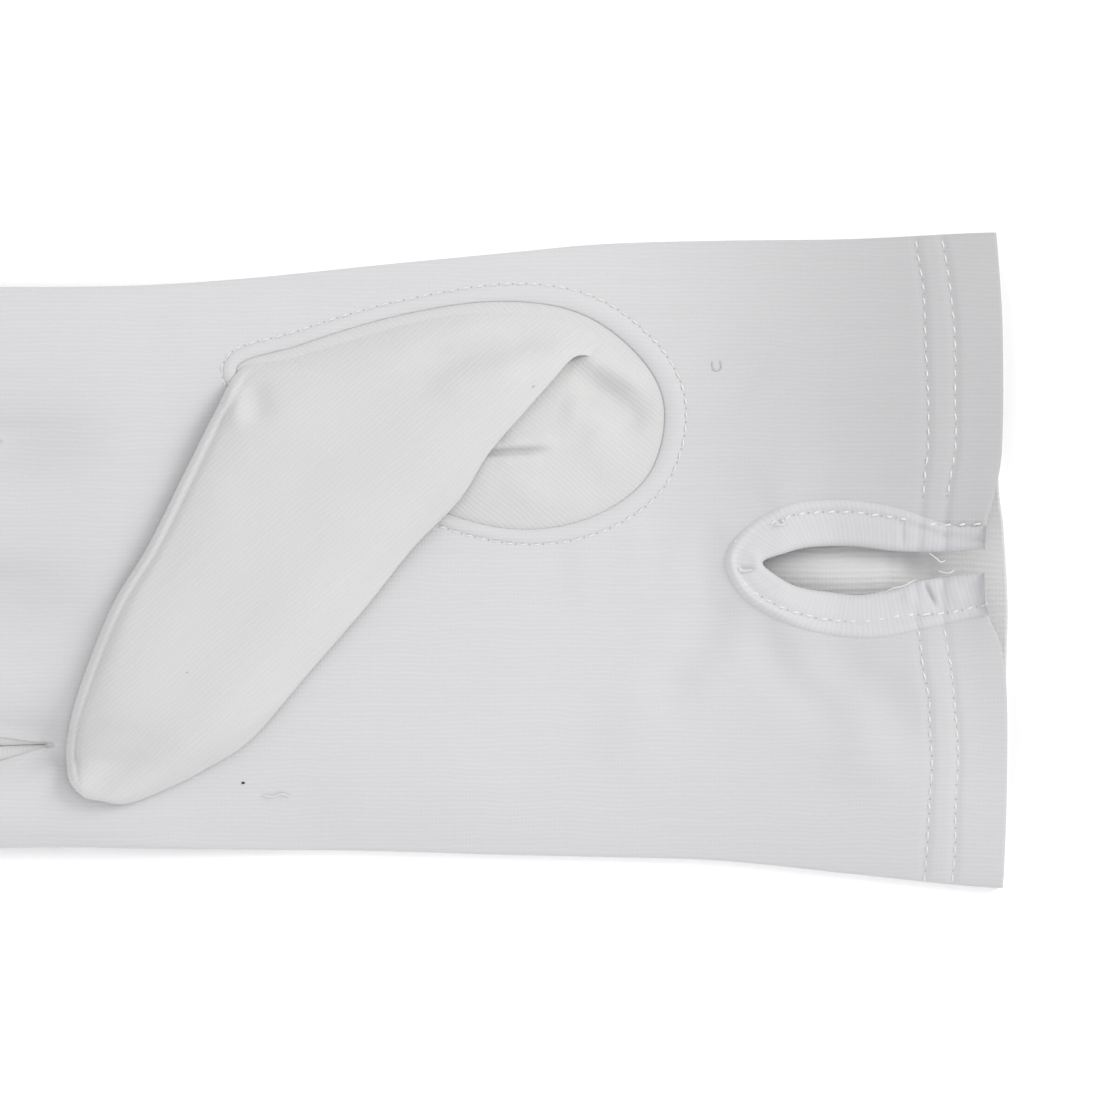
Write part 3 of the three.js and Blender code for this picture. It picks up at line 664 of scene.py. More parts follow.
def finger_patch(name, base_x, base_y, base_z):
    """Finger top from its stretch of the crotch line to its tip, with folds down to the seams."""
    at = up_to_tip(0, 56, 16)
    x, middle, half, height = finger_plan(name, at)
    radius = np.minimum(FINGER_RADIUS, np.maximum(half * 0.45, 0.002))
    inset = radius * FOLD_REACH
    part = (base_y - base_y[-1]) / (base_y[0] - base_y[-1])
    y = middle + (half - inset) * (2 * part - 1)
    across = np.clip((y - middle) / np.maximum(half - inset, 0.01), -1, 1)
    top = finger_crown(across, radius, height * (1 - 0.12 * smooth((at - 0.86) / 0.14)))
    start = smooth(at / CROTCH_EASE)
    top = top + 0.18 * unevenness(x, y, 16, 8) * (1 - across**2) * start
    x = x + (1 - start) * (base_x - x[0])
    z = top + (1 - start) * (base_z - top[0])
    y = y + (1 - start) * (base_y - y[0])
    outer = (name == "index", name == "little")
    ends = [BACK_SEAM if side else seam_height(at) for side in outer]
    grows = [1.0 if side else start for side in outer]
    grid = with_folds(x[:, :1], y, z, radius[:, 0], ends, grows)
    grid[:, FOLD_COLUMNS:-FOLD_COLUMNS, 0] = x
    grid[:, -FOLD_COLUMNS:, 0] = x[:, -1:]
    return grid


patches = front_patches()
print("Palm and finger grids:", [patch.shape[:2] for patch in patches])

# %% [markdown]
# The thumb hole is a closed curve through twelve places, by the same cubic as the tables. The
# vent follows the middle of its binding. Faces of the palm inside either outline are left out,
# and the points beside them are moved onto it, so the cut edges are as smooth as the curve.

# %% Thumb hole and vent outlines
HOLE_LENGTH = 71.5
HOLE_WIDTH = 38.2
HOLE_X = CUFF_X - 93.3
HOLE_Y = 24.2
HOLE = np.array([  # shares of the hole's length and width from its middle
    (-0.499, 0.183), (-0.35, 0.306), (-0.117, 0.437), (0.112, 0.498), (0.303, 0.445), (0.443, 0.253),
    (0.501, 0.022), (0.462, -0.266), (0.326, -0.45), (0.14, -0.498), (-0.07, -0.384), (-0.303, -0.131)])
VENT_LENGTH = 47.5
VENT_WIDTH = 23.2
VENT_MIDDLE = -1.4
BINDING = np.array([  # outer edge along and across, inner edge along and across, as shares
    (-0.08, 0.309, -0.08, 0.137), (0.077, 0.309, 0.077, 0.137), (0.221, 0.324, 0.221, 0.115),
    (0.396, 0.439, 0.396, 0.122), (0.586, 0.496, 0.551, 0.158), (0.779, 0.46, 0.702, 0.151),
    (0.93, 0.295, 0.789, 0.108), (1.0, 0.079, 0.867, 0.043), (0.958, -0.158, 0.814, -0.058),
    (0.853, -0.331, 0.747, -0.129), (0.702, -0.453, 0.649, -0.165), (0.495, -0.504, 0.505, -0.187),
    (0.284, -0.432, 0.333, -0.094), (0.091, -0.345, 0.123, -0.036), (-0.08, -0.331, -0.08, -0.036)])


def at_hole(shares):
    """Places on the glove of shares of the thumb hole's length and width."""
    return shares * (HOLE_LENGTH, HOLE_WIDTH) + (HOLE_X, HOLE_Y)


def refined(rows, count, closed=False):
    """Smooth curve through rows of numbers, as count rows that lie evenly along it in plan."""
    line = np.vstack([rows[-2:], rows, rows[:3]]) if closed else rows
    number = np.arange(len(line), dtype=float)
    table = np.column_stack([number, line])
    first, last = (2.0, 2.0 + len(rows)) if closed else (0.0, len(rows) - 1.0)
    dense = np.linspace(first, last, 40 * len(rows) + 1)
    fine = np.stack([through(table, column + 1, dense) for column in range(rows.shape[1])], axis=1)
    walked = distance_along(fine)
    want = np.linspace(0, walked[-1], count + closed)[:count]
    return np.stack([np.interp(want, walked, column) for column in fine.T], axis=1)


def outward(path, closed):
    """Unit normals to the left of a path in plan."""
    if closed:
        ahead = np.roll(path, -1, axis=0) - np.roll(path, 1, axis=0)
    else:
        ahead = np.gradient(path, axis=0)
    ahead = ahead / np.linalg.norm(ahead, axis=1, keepdims=True)
    return np.stack([-ahead[:, 1], ahead[:, 0]], axis=1)


HOLE_PATH = refined(at_hole(HOLE), 330, closed=True)
HOLE_OUT = outward(HOLE_PATH, True)
BINDING_ROWS = refined(BINDING * (-VENT_LENGTH, VENT_WIDTH, -VENT_LENGTH, VENT_WIDTH)
                       + (CUFF_X, VENT_MIDDLE, CUFF_X, VENT_MIDDLE), 420)
VENT_PATH = (BINDING_ROWS[:, :2] + BINDING_ROWS[:, 2:]) / 2


def outline_distance(x, y, path):
    """Distance to the nearest point of a dense path, and that point's number."""
    points = np.column_stack([np.ravel(x), np.ravel(y)])
    gaps = np.hypot(points[:, None, 0] - path[None, :, 0], points[:, None, 1] - path[None, :, 1])
    nearest = gaps.argmin(axis=1)
    return gaps[np.arange(len(points)), nearest].reshape(np.shape(x)), nearest.reshape(np.shape(x))


def inside_outline(x, y, path):
    """Even-odd rule: count of the outline's edges that a ray to +X crosses."""
    after = np.roll(path, -1, axis=0)
    odd = np.zeros(np.shape(x), dtype=bool)
    for (ax, ay), (bx, by) in zip(path, after):
        crosses = (ay > y) != (by > y)
        with np.errstate(divide="ignore", invalid="ignore"):
            odd ^= crosses & (x < (bx - ax) * (y - ay) / (by - ay) + ax)
    return odd


def cut_out(points, faces, path):
    """Faces outside an outline; points of kept faces that lie inside it are moved onto it."""
    x, y = points[:, 0].copy(), points[:, 1].copy()
    near = (np.abs(x - path[:, 0].mean()) < 60) & (np.abs(y - path[:, 1].mean()) < 40)
    inside = np.zeros(len(x), dtype=bool)
    inside[near] = inside_outline(x[near], y[near], path[::3])
    kept = faces[inside[faces].sum(axis=1) < 3]
    moved = np.unique(kept[inside[kept]])
    _, nearest = outline_distance(x[moved], y[moved], path)
    points[moved, :2] = path[nearest]
    return kept


print("Hole outline:", len(HOLE_PATH), "points; binding rows:", len(BINDING_ROWS))

# %% [markdown]
# The palm sheet, its openings and its welt. The welt is a rounded roll round the thumb hole: a
# profile of distances and heights is carried along the outline and laid on the palm's height.

# %% Palm piece
HOLE_CUT = 1.3  # the palm's cut edge lies this far outside the outline, under the welt
WELT_WIDTH = 2.25
WELT_EXTRA = 1.25
WELT_HEIGHT = 0.55
WELT_SINK = 0.12


def sheet(name, grid, uv=None, closed_rows=False, closed_columns=False):
    """Mesh of one grid of points."""
    rows, columns = grid.shape[:2]
    faces = grid_faces(rows, columns, closed_columns)
    if closed_rows:
        column = np.arange(columns - (not closed_columns))
        ahead = (column + 1) % columns
        last = (rows - 1) * columns
        faces = np.vstack([faces, np.stack([column + last, ahead + last, ahead, column], axis=1)])
    uv = grid[..., :2] if uv is None else uv
    return mesh_from(name, grid.reshape(-1, 3), faces, uv.reshape(-1, 2))


def faced_up(mesh):
    """Turn all faces over when most of them look down."""
    normals = np.empty(len(mesh.polygons) * 3, dtype=np.float32)
    mesh.polygons.foreach_get("normal", normals)
    if normals[2::3].mean() < 0:
        mesh.flip_normals()
    return mesh


def palm_mesh():
    """Palm and finger tops as one sheet of cloth, without its faces in the two openings."""
    meshes = []
    for number, grid in enumerate(patches):
        points = grid.reshape(-1, 3).copy()
        faces = grid_faces(*grid.shape[:2])
        if number == 0:
            faces = cut_out(points, faces, HOLE_PATH + HOLE_CUT * HOLE_OUT)
            faces = cut_out(points, faces, VENT_PATH)
        used = np.unique(faces)
        lookup = np.full(len(points), -1)
        lookup[used] = np.arange(len(used))
        mesh = mesh_from(f"palm_{number}", points[used], lookup[faces], points[used, :2])
        meshes.append(faced_up(mesh))
    return thickened(welded(joined("palm_sheet", meshes), 0.02), CLOTH)


def welt_width(path):
    """Width of the welt, widest on the cuff side of the hole, as the topstitching runs."""
    turn = np.arctan2(path[:, 1] - HOLE_Y, path[:, 0] - HOLE_X)
    return WELT_WIDTH + WELT_EXTRA * np.clip(np.cos(turn - 0.25), 0, 1) ** 2


def welt_grid():
    """Rounded roll along the hole's outline; both its edges run down into the palm."""
    around = np.linspace(0, 1, 17)
    hump = np.sin(math.pi * np.clip(around * 0.93 + 0.07, 0, 1)) ** 0.6
    outwards = np.concatenate([[-0.04], around, [1.06]])
    rise = np.concatenate([[-0.5], WELT_HEIGHT * hump - WELT_SINK, [-0.4]])
    width = welt_width(HOLE_PATH)[:, None]
    x = HOLE_PATH[:, [0]] + HOLE_OUT[:, [0]] * width * outwards
    y = HOLE_PATH[:, [1]] + HOLE_OUT[:, [1]] * width * outwards
    return np.stack([x, y, front_height(x, y) + rise], axis=-1)


welt = faced_up(sheet("welt", welt_grid(), closed_rows=True))
piece("palm_cloth", [palm_mesh(), welded(welt)], PALM_CLOTH, ["palm_panel"])

# %% [markdown]
# The thumb is a flattened tube: every section runs from its seamed edge to its fold, and its
# thickness is a superellipse. It lies on the palm, and its base goes down into the hole.

# %% Thumb tables
THUMB_LENGTH = 74.8
THUMB_HEIGHT = 7.6
THUMB_LIFT = 0.2
THUMB_FLATNESS = 0.72
SEATED_INSET = 0.6
THUMB_WALES = 42
MOUND_WALES = -40
MOUND_HEIGHT = 2.6
FREE_THUMB = np.array([  # left x, y and right x, y as shares of the thumb length, lift, height
    (-0.34, -0.944, -0.332, -0.948, 0.16, 0.16),
    (-0.36, -0.925, -0.298, -0.954, 0.12, 0.36), (-0.374, -0.898, -0.243, -0.96, 0.06, 0.62),
    (-0.379, -0.837, -0.154, -0.927, 0.0, 0.84), (-0.365, -0.759, -0.069, -0.884, 0.0, 0.95),
    (-0.327, -0.646, 0.036, -0.815, 0.0, 1.0), (-0.269, -0.508, 0.165, -0.666, 0.0, 1.0),
    (-0.194, -0.385, 0.287, -0.526, 0.02, 1.02), (-0.114, -0.225, 0.394, -0.392, 0.06, 1.04),
    (-0.047, -0.091, 0.499, -0.283, 0.1, 1.04)])
SEATED_THUMB = np.array([  # hole row of the left edge, right edge along and across, lifts, height
    (0.1, 0.089, -0.175, -0.16, 0.16, 1.0), (0.7, 0.177, 0.017, -0.34, 0.26, 0.92),
    (1.4, 0.235, 0.14, -0.36, 0.24, 0.82), (2.1, 0.291, 0.25, -0.36, 0.18, 0.68),
    (2.8, 0.343, 0.245, -0.34, 0.08, 0.6), (3.6, 0.392, 0.205, -0.3, -0.04, 0.5),
    (4.4, 0.435, 0.15, -0.26, -0.16, 0.4), (5.2, 0.468, 0.11, -0.24, -0.22, 0.3)])
HOLE_ROWS = np.column_stack([np.arange(-2.0, len(HOLE) + 3),
                             at_hole(np.vstack([HOLE[-2:], HOLE, HOLE[:3]]))])


def thumb_sections():
    """Rows of left x, y, right x, y, left and right lift and height, in millimetres."""
    free = FREE_THUMB[:, :4] * THUMB_LENGTH + np.tile(at_hole(HOLE[0]), 2)
    lift = THUMB_LIFT + FREE_THUMB[:, 4] * THUMB_HEIGHT
    free = np.column_stack([free, lift, lift, FREE_THUMB[:, 5] * THUMB_HEIGHT])
    left = np.column_stack([through(HOLE_ROWS, axis, SEATED_THUMB[:, 0]) for axis in (1, 2)])
    inwards = np.array((HOLE_X, HOLE_Y)) - left
    left = left + SEATED_INSET * inwards / np.linalg.norm(inwards, axis=1, keepdims=True)
    right = at_hole(SEATED_THUMB[:, 1:3])
    seated = np.column_stack([left, right, SEATED_THUMB[:, 3:] * THUMB_HEIGHT])
    return np.vstack([free, seated])


THUMB_FOLDS = [
    ([(395, 380), (441, 362), (482, 350), (522, 342), (563, 345)], -1.7, 2.6),
    ([(430, 395), (480, 380), (530, 366)], 0.8, 2.6),
    ([(380, 350), (440, 335), (500, 322)], 0.4, 3.0),
    ([(229, 380), (236, 404), (240, 435)], 0.9, 1.9),
    ([(255, 380), (262, 425)], -0.8, 2.2),
    ([(216, 396), (219, 408)], -1.2, 1.0),
    ([(215, 500), (270, 470), (340, 470)], -0.5, 4.0),
    ([(250, 560), (300, 520), (360, 500)], 0.4, 4.0),
    ([(180, 770), (300, 690), (420, 545), (500, 425)], 0.7, 1.5),
    ([(80, 778), (130, 762), (190, 735)], -0.3, 2.6),
    ([(180, 500), (130, 610), (100, 700)], 0.4, 2.2),
]


def thumb_grid(around=120, rows=230):
    """Tube through the sections, with its folds and with the seam's roll along its left edge."""
    table = thumb_sections()
    keyed = np.column_stack([np.arange(len(table), dtype=float), table])
    step = np.linspace(0, len(table) - 1, rows)[:, None]
    lx, ly, rx, ry, lift_l, lift_r, height = (through(keyed, c, step) for c in range(1, 8))
    across, rise = flattened_circle(around, 0.7)
    share = (1 + across) / 2
    x = lx + (rx - lx) * share
    y = ly + (ry - ly) * share
    from_left = share * np.hypot(rx - lx, ry - ly)
    thin = np.minimum(2.4 - 0.9 * share, 0.5 * height)
    top = thin + (THUMB_FLATNESS * height - thin) * (1 - np.abs(across) ** 4)
    z = np.where(rise > 0, thin / 2 + rise * (top - thin / 2), thin / 2 * (1 + rise))
    free = smooth((10.5 - step) / 1.5) * smooth((step - 1.6) / 1.5)
    roll = 0.35 * bell(from_left - 0.9, 0.7) - 0.6 * bell(from_left - 2.0, 0.45)
    hollow = -0.8 * bell(share - 0.5, 0.22) * smooth((12 - step) / 3)
    waves = 0.35 * unevenness(x, y, 19, 12) + fold_heights(THUMB_FOLDS, x, y)
    from_tip = smooth((step - 0.3) / 2.2)
    relief = roll * free + from_tip * (hollow + waves) * np.clip(rise * 1.6, 0, 1)
    seated = smooth((step - 8.5) / 1.5) * smooth((14.8 - step) / 2.2)
    z = z + np.where(rise > 0, relief, 0) + 1.3 * seated * smooth(share)
    z = z + front_height(x, y) + lift_l + (lift_r - lift_l) * share
    return np.stack([x, y, z], axis=-1)


def turned_uv(x, y, degrees):
    """Places of the cloth for wales that run at an angle in plan."""
    a = math.radians(degrees)
    return np.stack([x * math.cos(a) + y * math.sin(a), -x * math.sin(a) + y * math.cos(a)], axis=-1)


MOUND_FOLDS = [
    ([(572, 352), (600, 360), (628, 375), (656, 391)], 2.0, 2.4),
    ([(570, 378), (604, 395), (630, 412), (646, 432)], -1.5, 2.8),
    ([(560, 405), (590, 415), (610, 440)], 0.7, 3.0),
    ([(470, 453), (500, 452), (552, 450)], -1.1, 0.55),
    ([(500, 443), (530, 441), (560, 443)], 0.5, 1.3),
    ([(495, 463), (545, 461)], 0.25, 1.4),
    ([(590, 430), (625, 480)], 0.5, 4.0),
    ([(500, 480), (550, 505), (600, 505)], 0.5, 3.0),
]


def mound_grid(radial=84):
    """Sheet over the whole hole: a low mound with the tuck and the valley under the fold."""
    share = np.linspace(0, 1, radial)[:, None]
    centre = np.array((HOLE_X + 0.05 * HOLE_LENGTH, HOLE_Y))
    edge = HOLE_PATH + 0.12 * HOLE_OUT
    x = centre[0] + (edge[:, 0] - centre[0]) * share
    y = centre[1] + (edge[:, 1] - centre[1]) * share
    folds = fold_heights(MOUND_FOLDS, x, y) + 0.12 * unevenness(x, y, 11, 21)
    body = MOUND_HEIGHT * (1 - share**2.2) + folds * (1 - share**8)
    z = front_height(x, y) + body - 0.12 * smooth((share - 0.94) / 0.06)
    return np.stack([x, y, z], axis=-1)


tube = thumb_grid()
whole, whole_uv = capped(tube, turned_uv(tube[..., 0], tube[..., 1], THUMB_WALES))
tube_mesh = welded(sheet("thumb_tube", whole, whole_uv, closed_columns=True))
mound = mound_grid()
mound_uv = turned_uv(mound[..., 0], mound[..., 1], MOUND_WALES)
mound_mesh = faced_up(sheet("thumb_mound", mound, mound_uv, closed_columns=True))
mound_mesh = thickened(welded(mound_mesh), 0.8)
piece("thumb_cloth", [tube_mesh, mound_mesh], THUMB_CLOTH, ["thumb"])

# %% [markdown]
# The vent's binding is a ribbed strip folded over the cut edge. Its ribs run across it, so its
# UV map takes the distance along the strip as the way across the wales.

# %% Vent binding
BINDING_TOP = 0.6  # over the palm's cloth
BINDING_HALF = 0.9  # half its thickness
BINDING_FOLDS = [
    ([(922, 578), (937, 608)], -0.8, 0.45),
    ([(940, 586), (966, 598)], 0.45, 1.5),
    ([(904, 592), (918, 606)], 0.4, 1.2),
    ([(738, 568), (755, 570)], -0.5, 0.5),
    ([(902, 518), (902, 548)], -0.3, 0.5),
    ([(750, 553), (762, 566)], 0.35, 0.8),
]


def binding_grid(around=40):
    """Strip folded over the vent's edge, grooved along its stitches, and its UV."""
    rows = BINDING_ROWS
    across, rise = flattened_circle(around, 0.75)
    share = (1 + across) / 2
    x = rows[:, [0]] + (rows[:, [2]] - rows[:, [0]]) * share
    y = rows[:, [1]] + (rows[:, [3]] - rows[:, [1]]) * share
    width = np.hypot(rows[:, 2] - rows[:, 0], rows[:, 3] - rows[:, 1])[:, None]
    from_outer = share * width
    at_turn = bell(np.arange(len(rows)) / len(rows) - 0.5, 0.16)[:, None]
    relief = -0.35 * bell(from_outer - 2.2, 0.5) + 0.15 * bell(width - from_outer - 0.9, 0.8)
    relief = relief + (0.1 + 0.4 * at_turn) * bell(from_outer - 1.1, 0.8)
    relief = relief + fold_heights(BINDING_FOLDS, x, y)
    z = front_height(x, y) + BINDING_TOP - BINDING_HALF + rise * BINDING_HALF
    z = z + np.where(rise > 0, relief * rise, 0)
    walked = distance_along(VENT_PATH)[:, None]
    uv = np.stack([from_outer, np.broadcast_to(walked, x.shape)], axis=-1)
    limit = CUFF_X - through(CUFF_EDGE, 1, y / HALF_CUFF) + 0.1
    return np.stack([np.minimum(x, limit), y, z], axis=-1), uv


strip, strip_uv = capped(*binding_grid())
strip_mesh = welded(sheet("binding", strip, strip_uv, closed_columns=True))
piece("vent_binding_cloth", [strip_mesh], RIBBED, ["vent_binding"])

# %% [markdown]
# The back lies flat on the table. Its edge turns up to the side seam all round, and it uses the
# same columns as the palm, so both sheets meet at the seam.

# %% Back piece
VENT_BULGE = 3.4
CROTCH_RISE = 1.2


def turned_up(radius):
    """Angles of the back's edge, from flat on the table up to the side seam."""
    last = seam_angle(radius, BACK_SEAM - SEAM_GAP)
    return -math.pi / 2 + (last + math.pi / 2) * np.linspace(0, 1, 7)


def back_grid():
    """Underside of palm and cuff: turned up to both side seams and raised inside the vent."""
    x, y = palm_grid(2)
    near = smooth(1 - (x - x[:1]) / 3.0)
    z = CROTCH_RISE * near * sum(bell(y - middle, 1.5) for middle in GAP_MIDDLES)
    bulge = bell(y - VENT_MIDDLE, 9) * smooth((x - 70) / 14) * smooth((113 - x) / 9)
    z = z + VENT_BULGE * bulge
    hem_edge = 0.45 * smooth((x - 106.2) / 0.5) - 0.3 * bell(x - 105.6, 0.5)
    z = z + hem_edge * np.minimum(z / 2, 1)
    radius = side_radius(x[:, [0]])
    angle = turned_up(radius)
    edges = []
    for sign, column in ((1, 0), (-1, -1)):
        edge_y = sides_at(x[:, [column]])[column] + sign * radius * (np.cos(angle) - 1)
        edge_x = np.broadcast_to(x[:, [column]], edge_y.shape)
        edges.append(np.stack([edge_x, edge_y, radius * (1 + np.sin(angle))], axis=-1))
    flat = np.stack([x, y, z], axis=-1)[:, 2:-2]
    return np.concatenate([edges[0][:, ::-1], flat, edges[1]], axis=1)


def finger_back(name):
    """Lower side of a finger, from seam to seam through the flat underside."""
    x, middle, half, _ = finger_plan(name, up_to_tip(-0.02, 44, 14))
    radius = np.minimum(FINGER_RADIUS, np.maximum(half * 0.45, 0.02))
    angle = turned_up(radius)
    fold_y = half - radius + radius * np.cos(angle)
    fold_z = (BACK_SEAM - SEAM_GAP) * (1 + np.sin(angle)) / (1 + np.sin(angle[:, -1:]))
    flat_y = middle + (half - radius) * np.linspace(1, -1, 20)[1:-1]
    y = np.concatenate([middle + fold_y[:, ::-1], flat_y, middle - fold_y], axis=1)
    z = np.concatenate([fold_z[:, ::-1], 0 * flat_y, fold_z], axis=1)
    return np.stack([np.broadcast_to(x, y.shape), y, z], axis=-1)


def faced_down(mesh):
    """Turn all faces over when most of them look up."""
    faced_up(mesh).flip_normals()
    return mesh


back_grids = {"back_palm": back_grid()}
back_grids.update({"back_" + name: finger_back(name) for name in FINGERS})
back_meshes = [welded(faced_down(sheet(name, grid))) for name, grid in back_grids.items()]
back_meshes = [thickened(mesh, CLOTH) for mesh in back_meshes]
piece("back_cloth", back_meshes, BACK_CLOTH_PAINTED_LIGHT, ["back_panel"])

# %% [markdown]
# Each fourchette is a strip between two fingers. It runs down one finger's side, turns round
# the crotch and runs out again along the next finger's side.

# %% Fourchettes


def fourchette_grid(upper, lower):
    """Strip between two fingers, from seam to seam, with the slit near the crotch filled."""
    at = np.linspace(0.89, 0.0, 64)
    rows = []
    for name, sign, places in ((upper, -1, at), (lower, 1, at[::-1])):
        x, middle, half, _ = finger_plan(name, places)
        rows.append(np.column_stack([x, middle + sign * half, places]))
    crotch = crotch_x((rows[0][-1, 1] + rows[1][0, 1]) / 2)
    rows[0] = np.vstack([rows[0][rows[0][:, 0] < crotch - 0.5], (crotch, rows[0][-1, 1], 0)])
    rows[1] = np.vstack([(crotch, rows[1][0, 1], 0), rows[1][rows[1][:, 0] < crotch - 0.5]])
    start, end = rows[0][-1], rows[1][0]
    centre = (start + end) / 2
    reach = np.hypot(*(start - end)[:2]) / 2
    turn = np.linspace(math.pi / 2, -math.pi / 2, 14)[1:-1]
    bend = centre + np.column_stack([reach * np.cos(turn), reach * np.sin(turn), 0 * turn])
    whole = np.vstack([rows[0], bend, rows[1]])
    path, place = whole[:, :2], whole[:, [2]]
    first_side = np.interp(path[:, 0], rows[0][:, 0], rows[0][:, 1])
    other_side = np.interp(path[:, 0], rows[1][::-1, 0], rows[1][::-1, 1])
    half_gap = ((first_side - other_side) / 2)[:, None]
    normal = outward(path, False)
    up = np.linspace(0, 1, 18)
    low = BACK_SEAM + 0.1
    height = low + (np.maximum(seam_height(place) - 0.05, low + 0.03) - low) * up
    angle = seam_angle(FINGER_RADIUS, height)
    walked = distance_along(path)
    from_crotch = np.abs(walked - walked[len(rows[0]) + 5])[:, None]
    filled = 1.015 * (1 - smooth((from_crotch - 9) / 14)) * (1 - up**12) * smooth(up / 0.3)
    inwards = FINGER_RADIUS * (1 - np.cos(angle)) * (1 - filled) - half_gap * filled
    x = path[:, [0]] + normal[:, [0]] * inwards
    y = path[:, [1]] + normal[:, [1]] * inwards
    uv = np.stack([height, np.broadcast_to(walked[:, None], x.shape)], axis=-1)
    return np.stack([x, y, height], axis=-1), uv


names = list(FINGERS)
for upper, lower in zip(names, names[1:]):
    grid, uv = fourchette_grid(upper, lower)
    mesh = welded(sheet("fourchette", grid, uv))
    if mesh.polygons[0].normal.y > 0:
        mesh.flip_normals()
    piece(f"fourchette_cloth_{upper}_{lower}", [thickened(mesh, 0.8)], STRIP_CLOTH,
          [f"fourchette_{upper}_{lower}"])

# %% [markdown]
# Stitches are short threads laid along a seam line, each a small tube with rounded ends that
# dips into the cloth at both ends. A needle hole lies between two of them, a shallow pit whose dark colour
# is painted shade.

# %% Stitches


def walk(path, pitch, start=0.5):
    """Places and unit directions at even distances along a path in plan."""
    walked = distance_along(path)
    want = np.arange(start * pitch, walked[-1], pitch)
    place, ahead, behind = (np.column_stack([np.interp(want + step, walked, axis) for axis in path.T])
                            for step in (0, 0.3, -0.3))
    run = ahead - behind
    return place, run / np.linalg.norm(run, axis=1, keepdims=True)


THREAD_RINGS = 9
THREAD_SIDES = 8


def repeated(faces, count, points):
    """Faces of one part with that many points, repeated for a count of parts in one mesh."""
    return (faces[None] + points * np.arange(count)[:, None, None]).reshape(-1, 4)


def thread_mesh(name, place, run, length, thick, base, lift, seed, slant):
    """Many short threads as one mesh: arched tubes with closed, rounded ends."""
    draw = np.random.default_rng(seed)
    count = len(place)
    turn = slant + draw.normal(0, 0.07, count)
    run = np.column_stack([run[:, 0] * np.cos(turn) - run[:, 1] * np.sin(turn),
                           run[:, 0] * np.sin(turn) + run[:, 1] * np.cos(turn)])
    side = np.column_stack([-run[:, 1], run[:, 0]])
    along = np.cos(np.linspace(math.pi, 0, THREAD_RINGS))
    around = circle(THREAD_SIDES)
    size = thick * np.sqrt(np.clip(1 - along**4, 0, 1)) * (1 + draw.normal(0, 0.08, count))[:, None]
    reach = length / 2 * (1 + draw.normal(0, 0.06, count))[:, None] * along
    x = place[:, 0, None] + run[:, 0, None] * reach
    y = place[:, 1, None] + run[:, 1, None] * reach
    arch = lift - 1.3 * thick * np.abs(along) ** 3 + draw.normal(0, 0.02, count)[:, None]
    z = base(x, y) + arch
    x = x[..., None] + side[:, 0, None, None] * size[..., None] * np.cos(around)
    y = y[..., None] + side[:, 1, None, None] * size[..., None] * np.cos(around)
    z = z[..., None] + size[..., None] * np.sin(around)
    points = np.stack([x, y, z], axis=-1)
    one = grid_faces(THREAD_RINGS, THREAD_SIDES, closed=True)
    faces = repeated(one, count, THREAD_RINGS * THREAD_SIDES)
    cells = np.meshgrid(np.arange(THREAD_RINGS) * 0.2, np.arange(THREAD_SIDES) * 0.1, indexing="ij")
    uv = np.broadcast_to(np.stack(cells, axis=-1), (count, THREAD_RINGS, THREAD_SIDES, 2))
    return welded(mesh_from(name, points.reshape(-1, 3), faces, uv.reshape(-1, 2)), 0.001)


def hole_mesh(name, place, radius, base, lift):
    """Small oval pits, one at each place, as one mesh of shallow cones."""
    turn = circle(THREAD_SIDES)
    x = place[:, 0, None] + radius * np.cos(turn)
    y = place[:, 1, None] + radius * np.sin(turn)
    rim = np.stack([x, y, base(x, y) + lift], axis=-1)
    middle = np.column_stack([place, base(*place.T) + lift - 0.02])
    grid = np.stack([np.broadcast_to(middle[:, None], rim.shape), rim], axis=1)
    faces = repeated(grid_faces(2, THREAD_SIDES, closed=True), len(place), 2 * THREAD_SIDES)
    mesh = mesh_from(name, grid.reshape(-1, 3), faces, np.zeros((grid.size // 3, 2)))
    return faced_up(welded(mesh, 0.001))


def thread_material(name, colour):
    """Plain thread, speck, or the painted shade of a needle hole, mottled a little with a darker tone."""
    material, tree, shader = new_material(name)
    place = tree.nodes.new("ShaderNodeTexCoord")
    twist = noise(tree, place.outputs["Object"], 2600.0, 2.0)
    tone = mixed(tree, twist, [0.82 * part for part in colour], colour)
    link(tree, tone, shader.inputs["Base Color"])
    shader.inputs["Roughness"].default_value = 0.7
    return material


THREAD = thread_material("white_thread", (0.7, 0.7, 0.69))
# Needle holes are shallow pits; their dark colour is painted shade.
PIT_PAINTED_SHADE = thread_material("needle_hole_shade", (0.4, 0.385, 0.35))
SPECK = thread_material("dark_speck", (0.02, 0.02, 0.02))
GREY = thread_material("grey_specks", (0.45, 0.44, 0.43))

hem_paths = []
for column in (1, 2):
    for low, high in ((236, 500), (626, 882)):
        py = np.linspace(low, high, 90)
        y = (FRAME_MIDDLE[1] - py) / PIXELS_PER_MM
        hem_paths.append(np.column_stack([hem_row(column, y), y]))
welt_path = HOLE_PATH + HOLE_OUT * (welt_width(HOLE_PATH)[:, None] + 0.1)
BINDING_STITCHES = [  # places along the row in the frame
    (984, 524), (947, 525), (929, 524), (918, 522), (899, 518), (875, 515), (853, 512), (823, 512),
    (809, 513), (794, 515), (780, 520), (765, 525), (751, 531), (737, 540), (733, 549), (733, 562),
    (739, 575), (749, 590), (765, 599), (778, 606), (793, 612), (806, 615), (821, 619), (840, 621),
    (869, 621), (886, 618), (905, 615), (936, 614), (953, 612), (984, 605)]
binding_path = np.array([spot(*place) for place in BINDING_STITCHES])


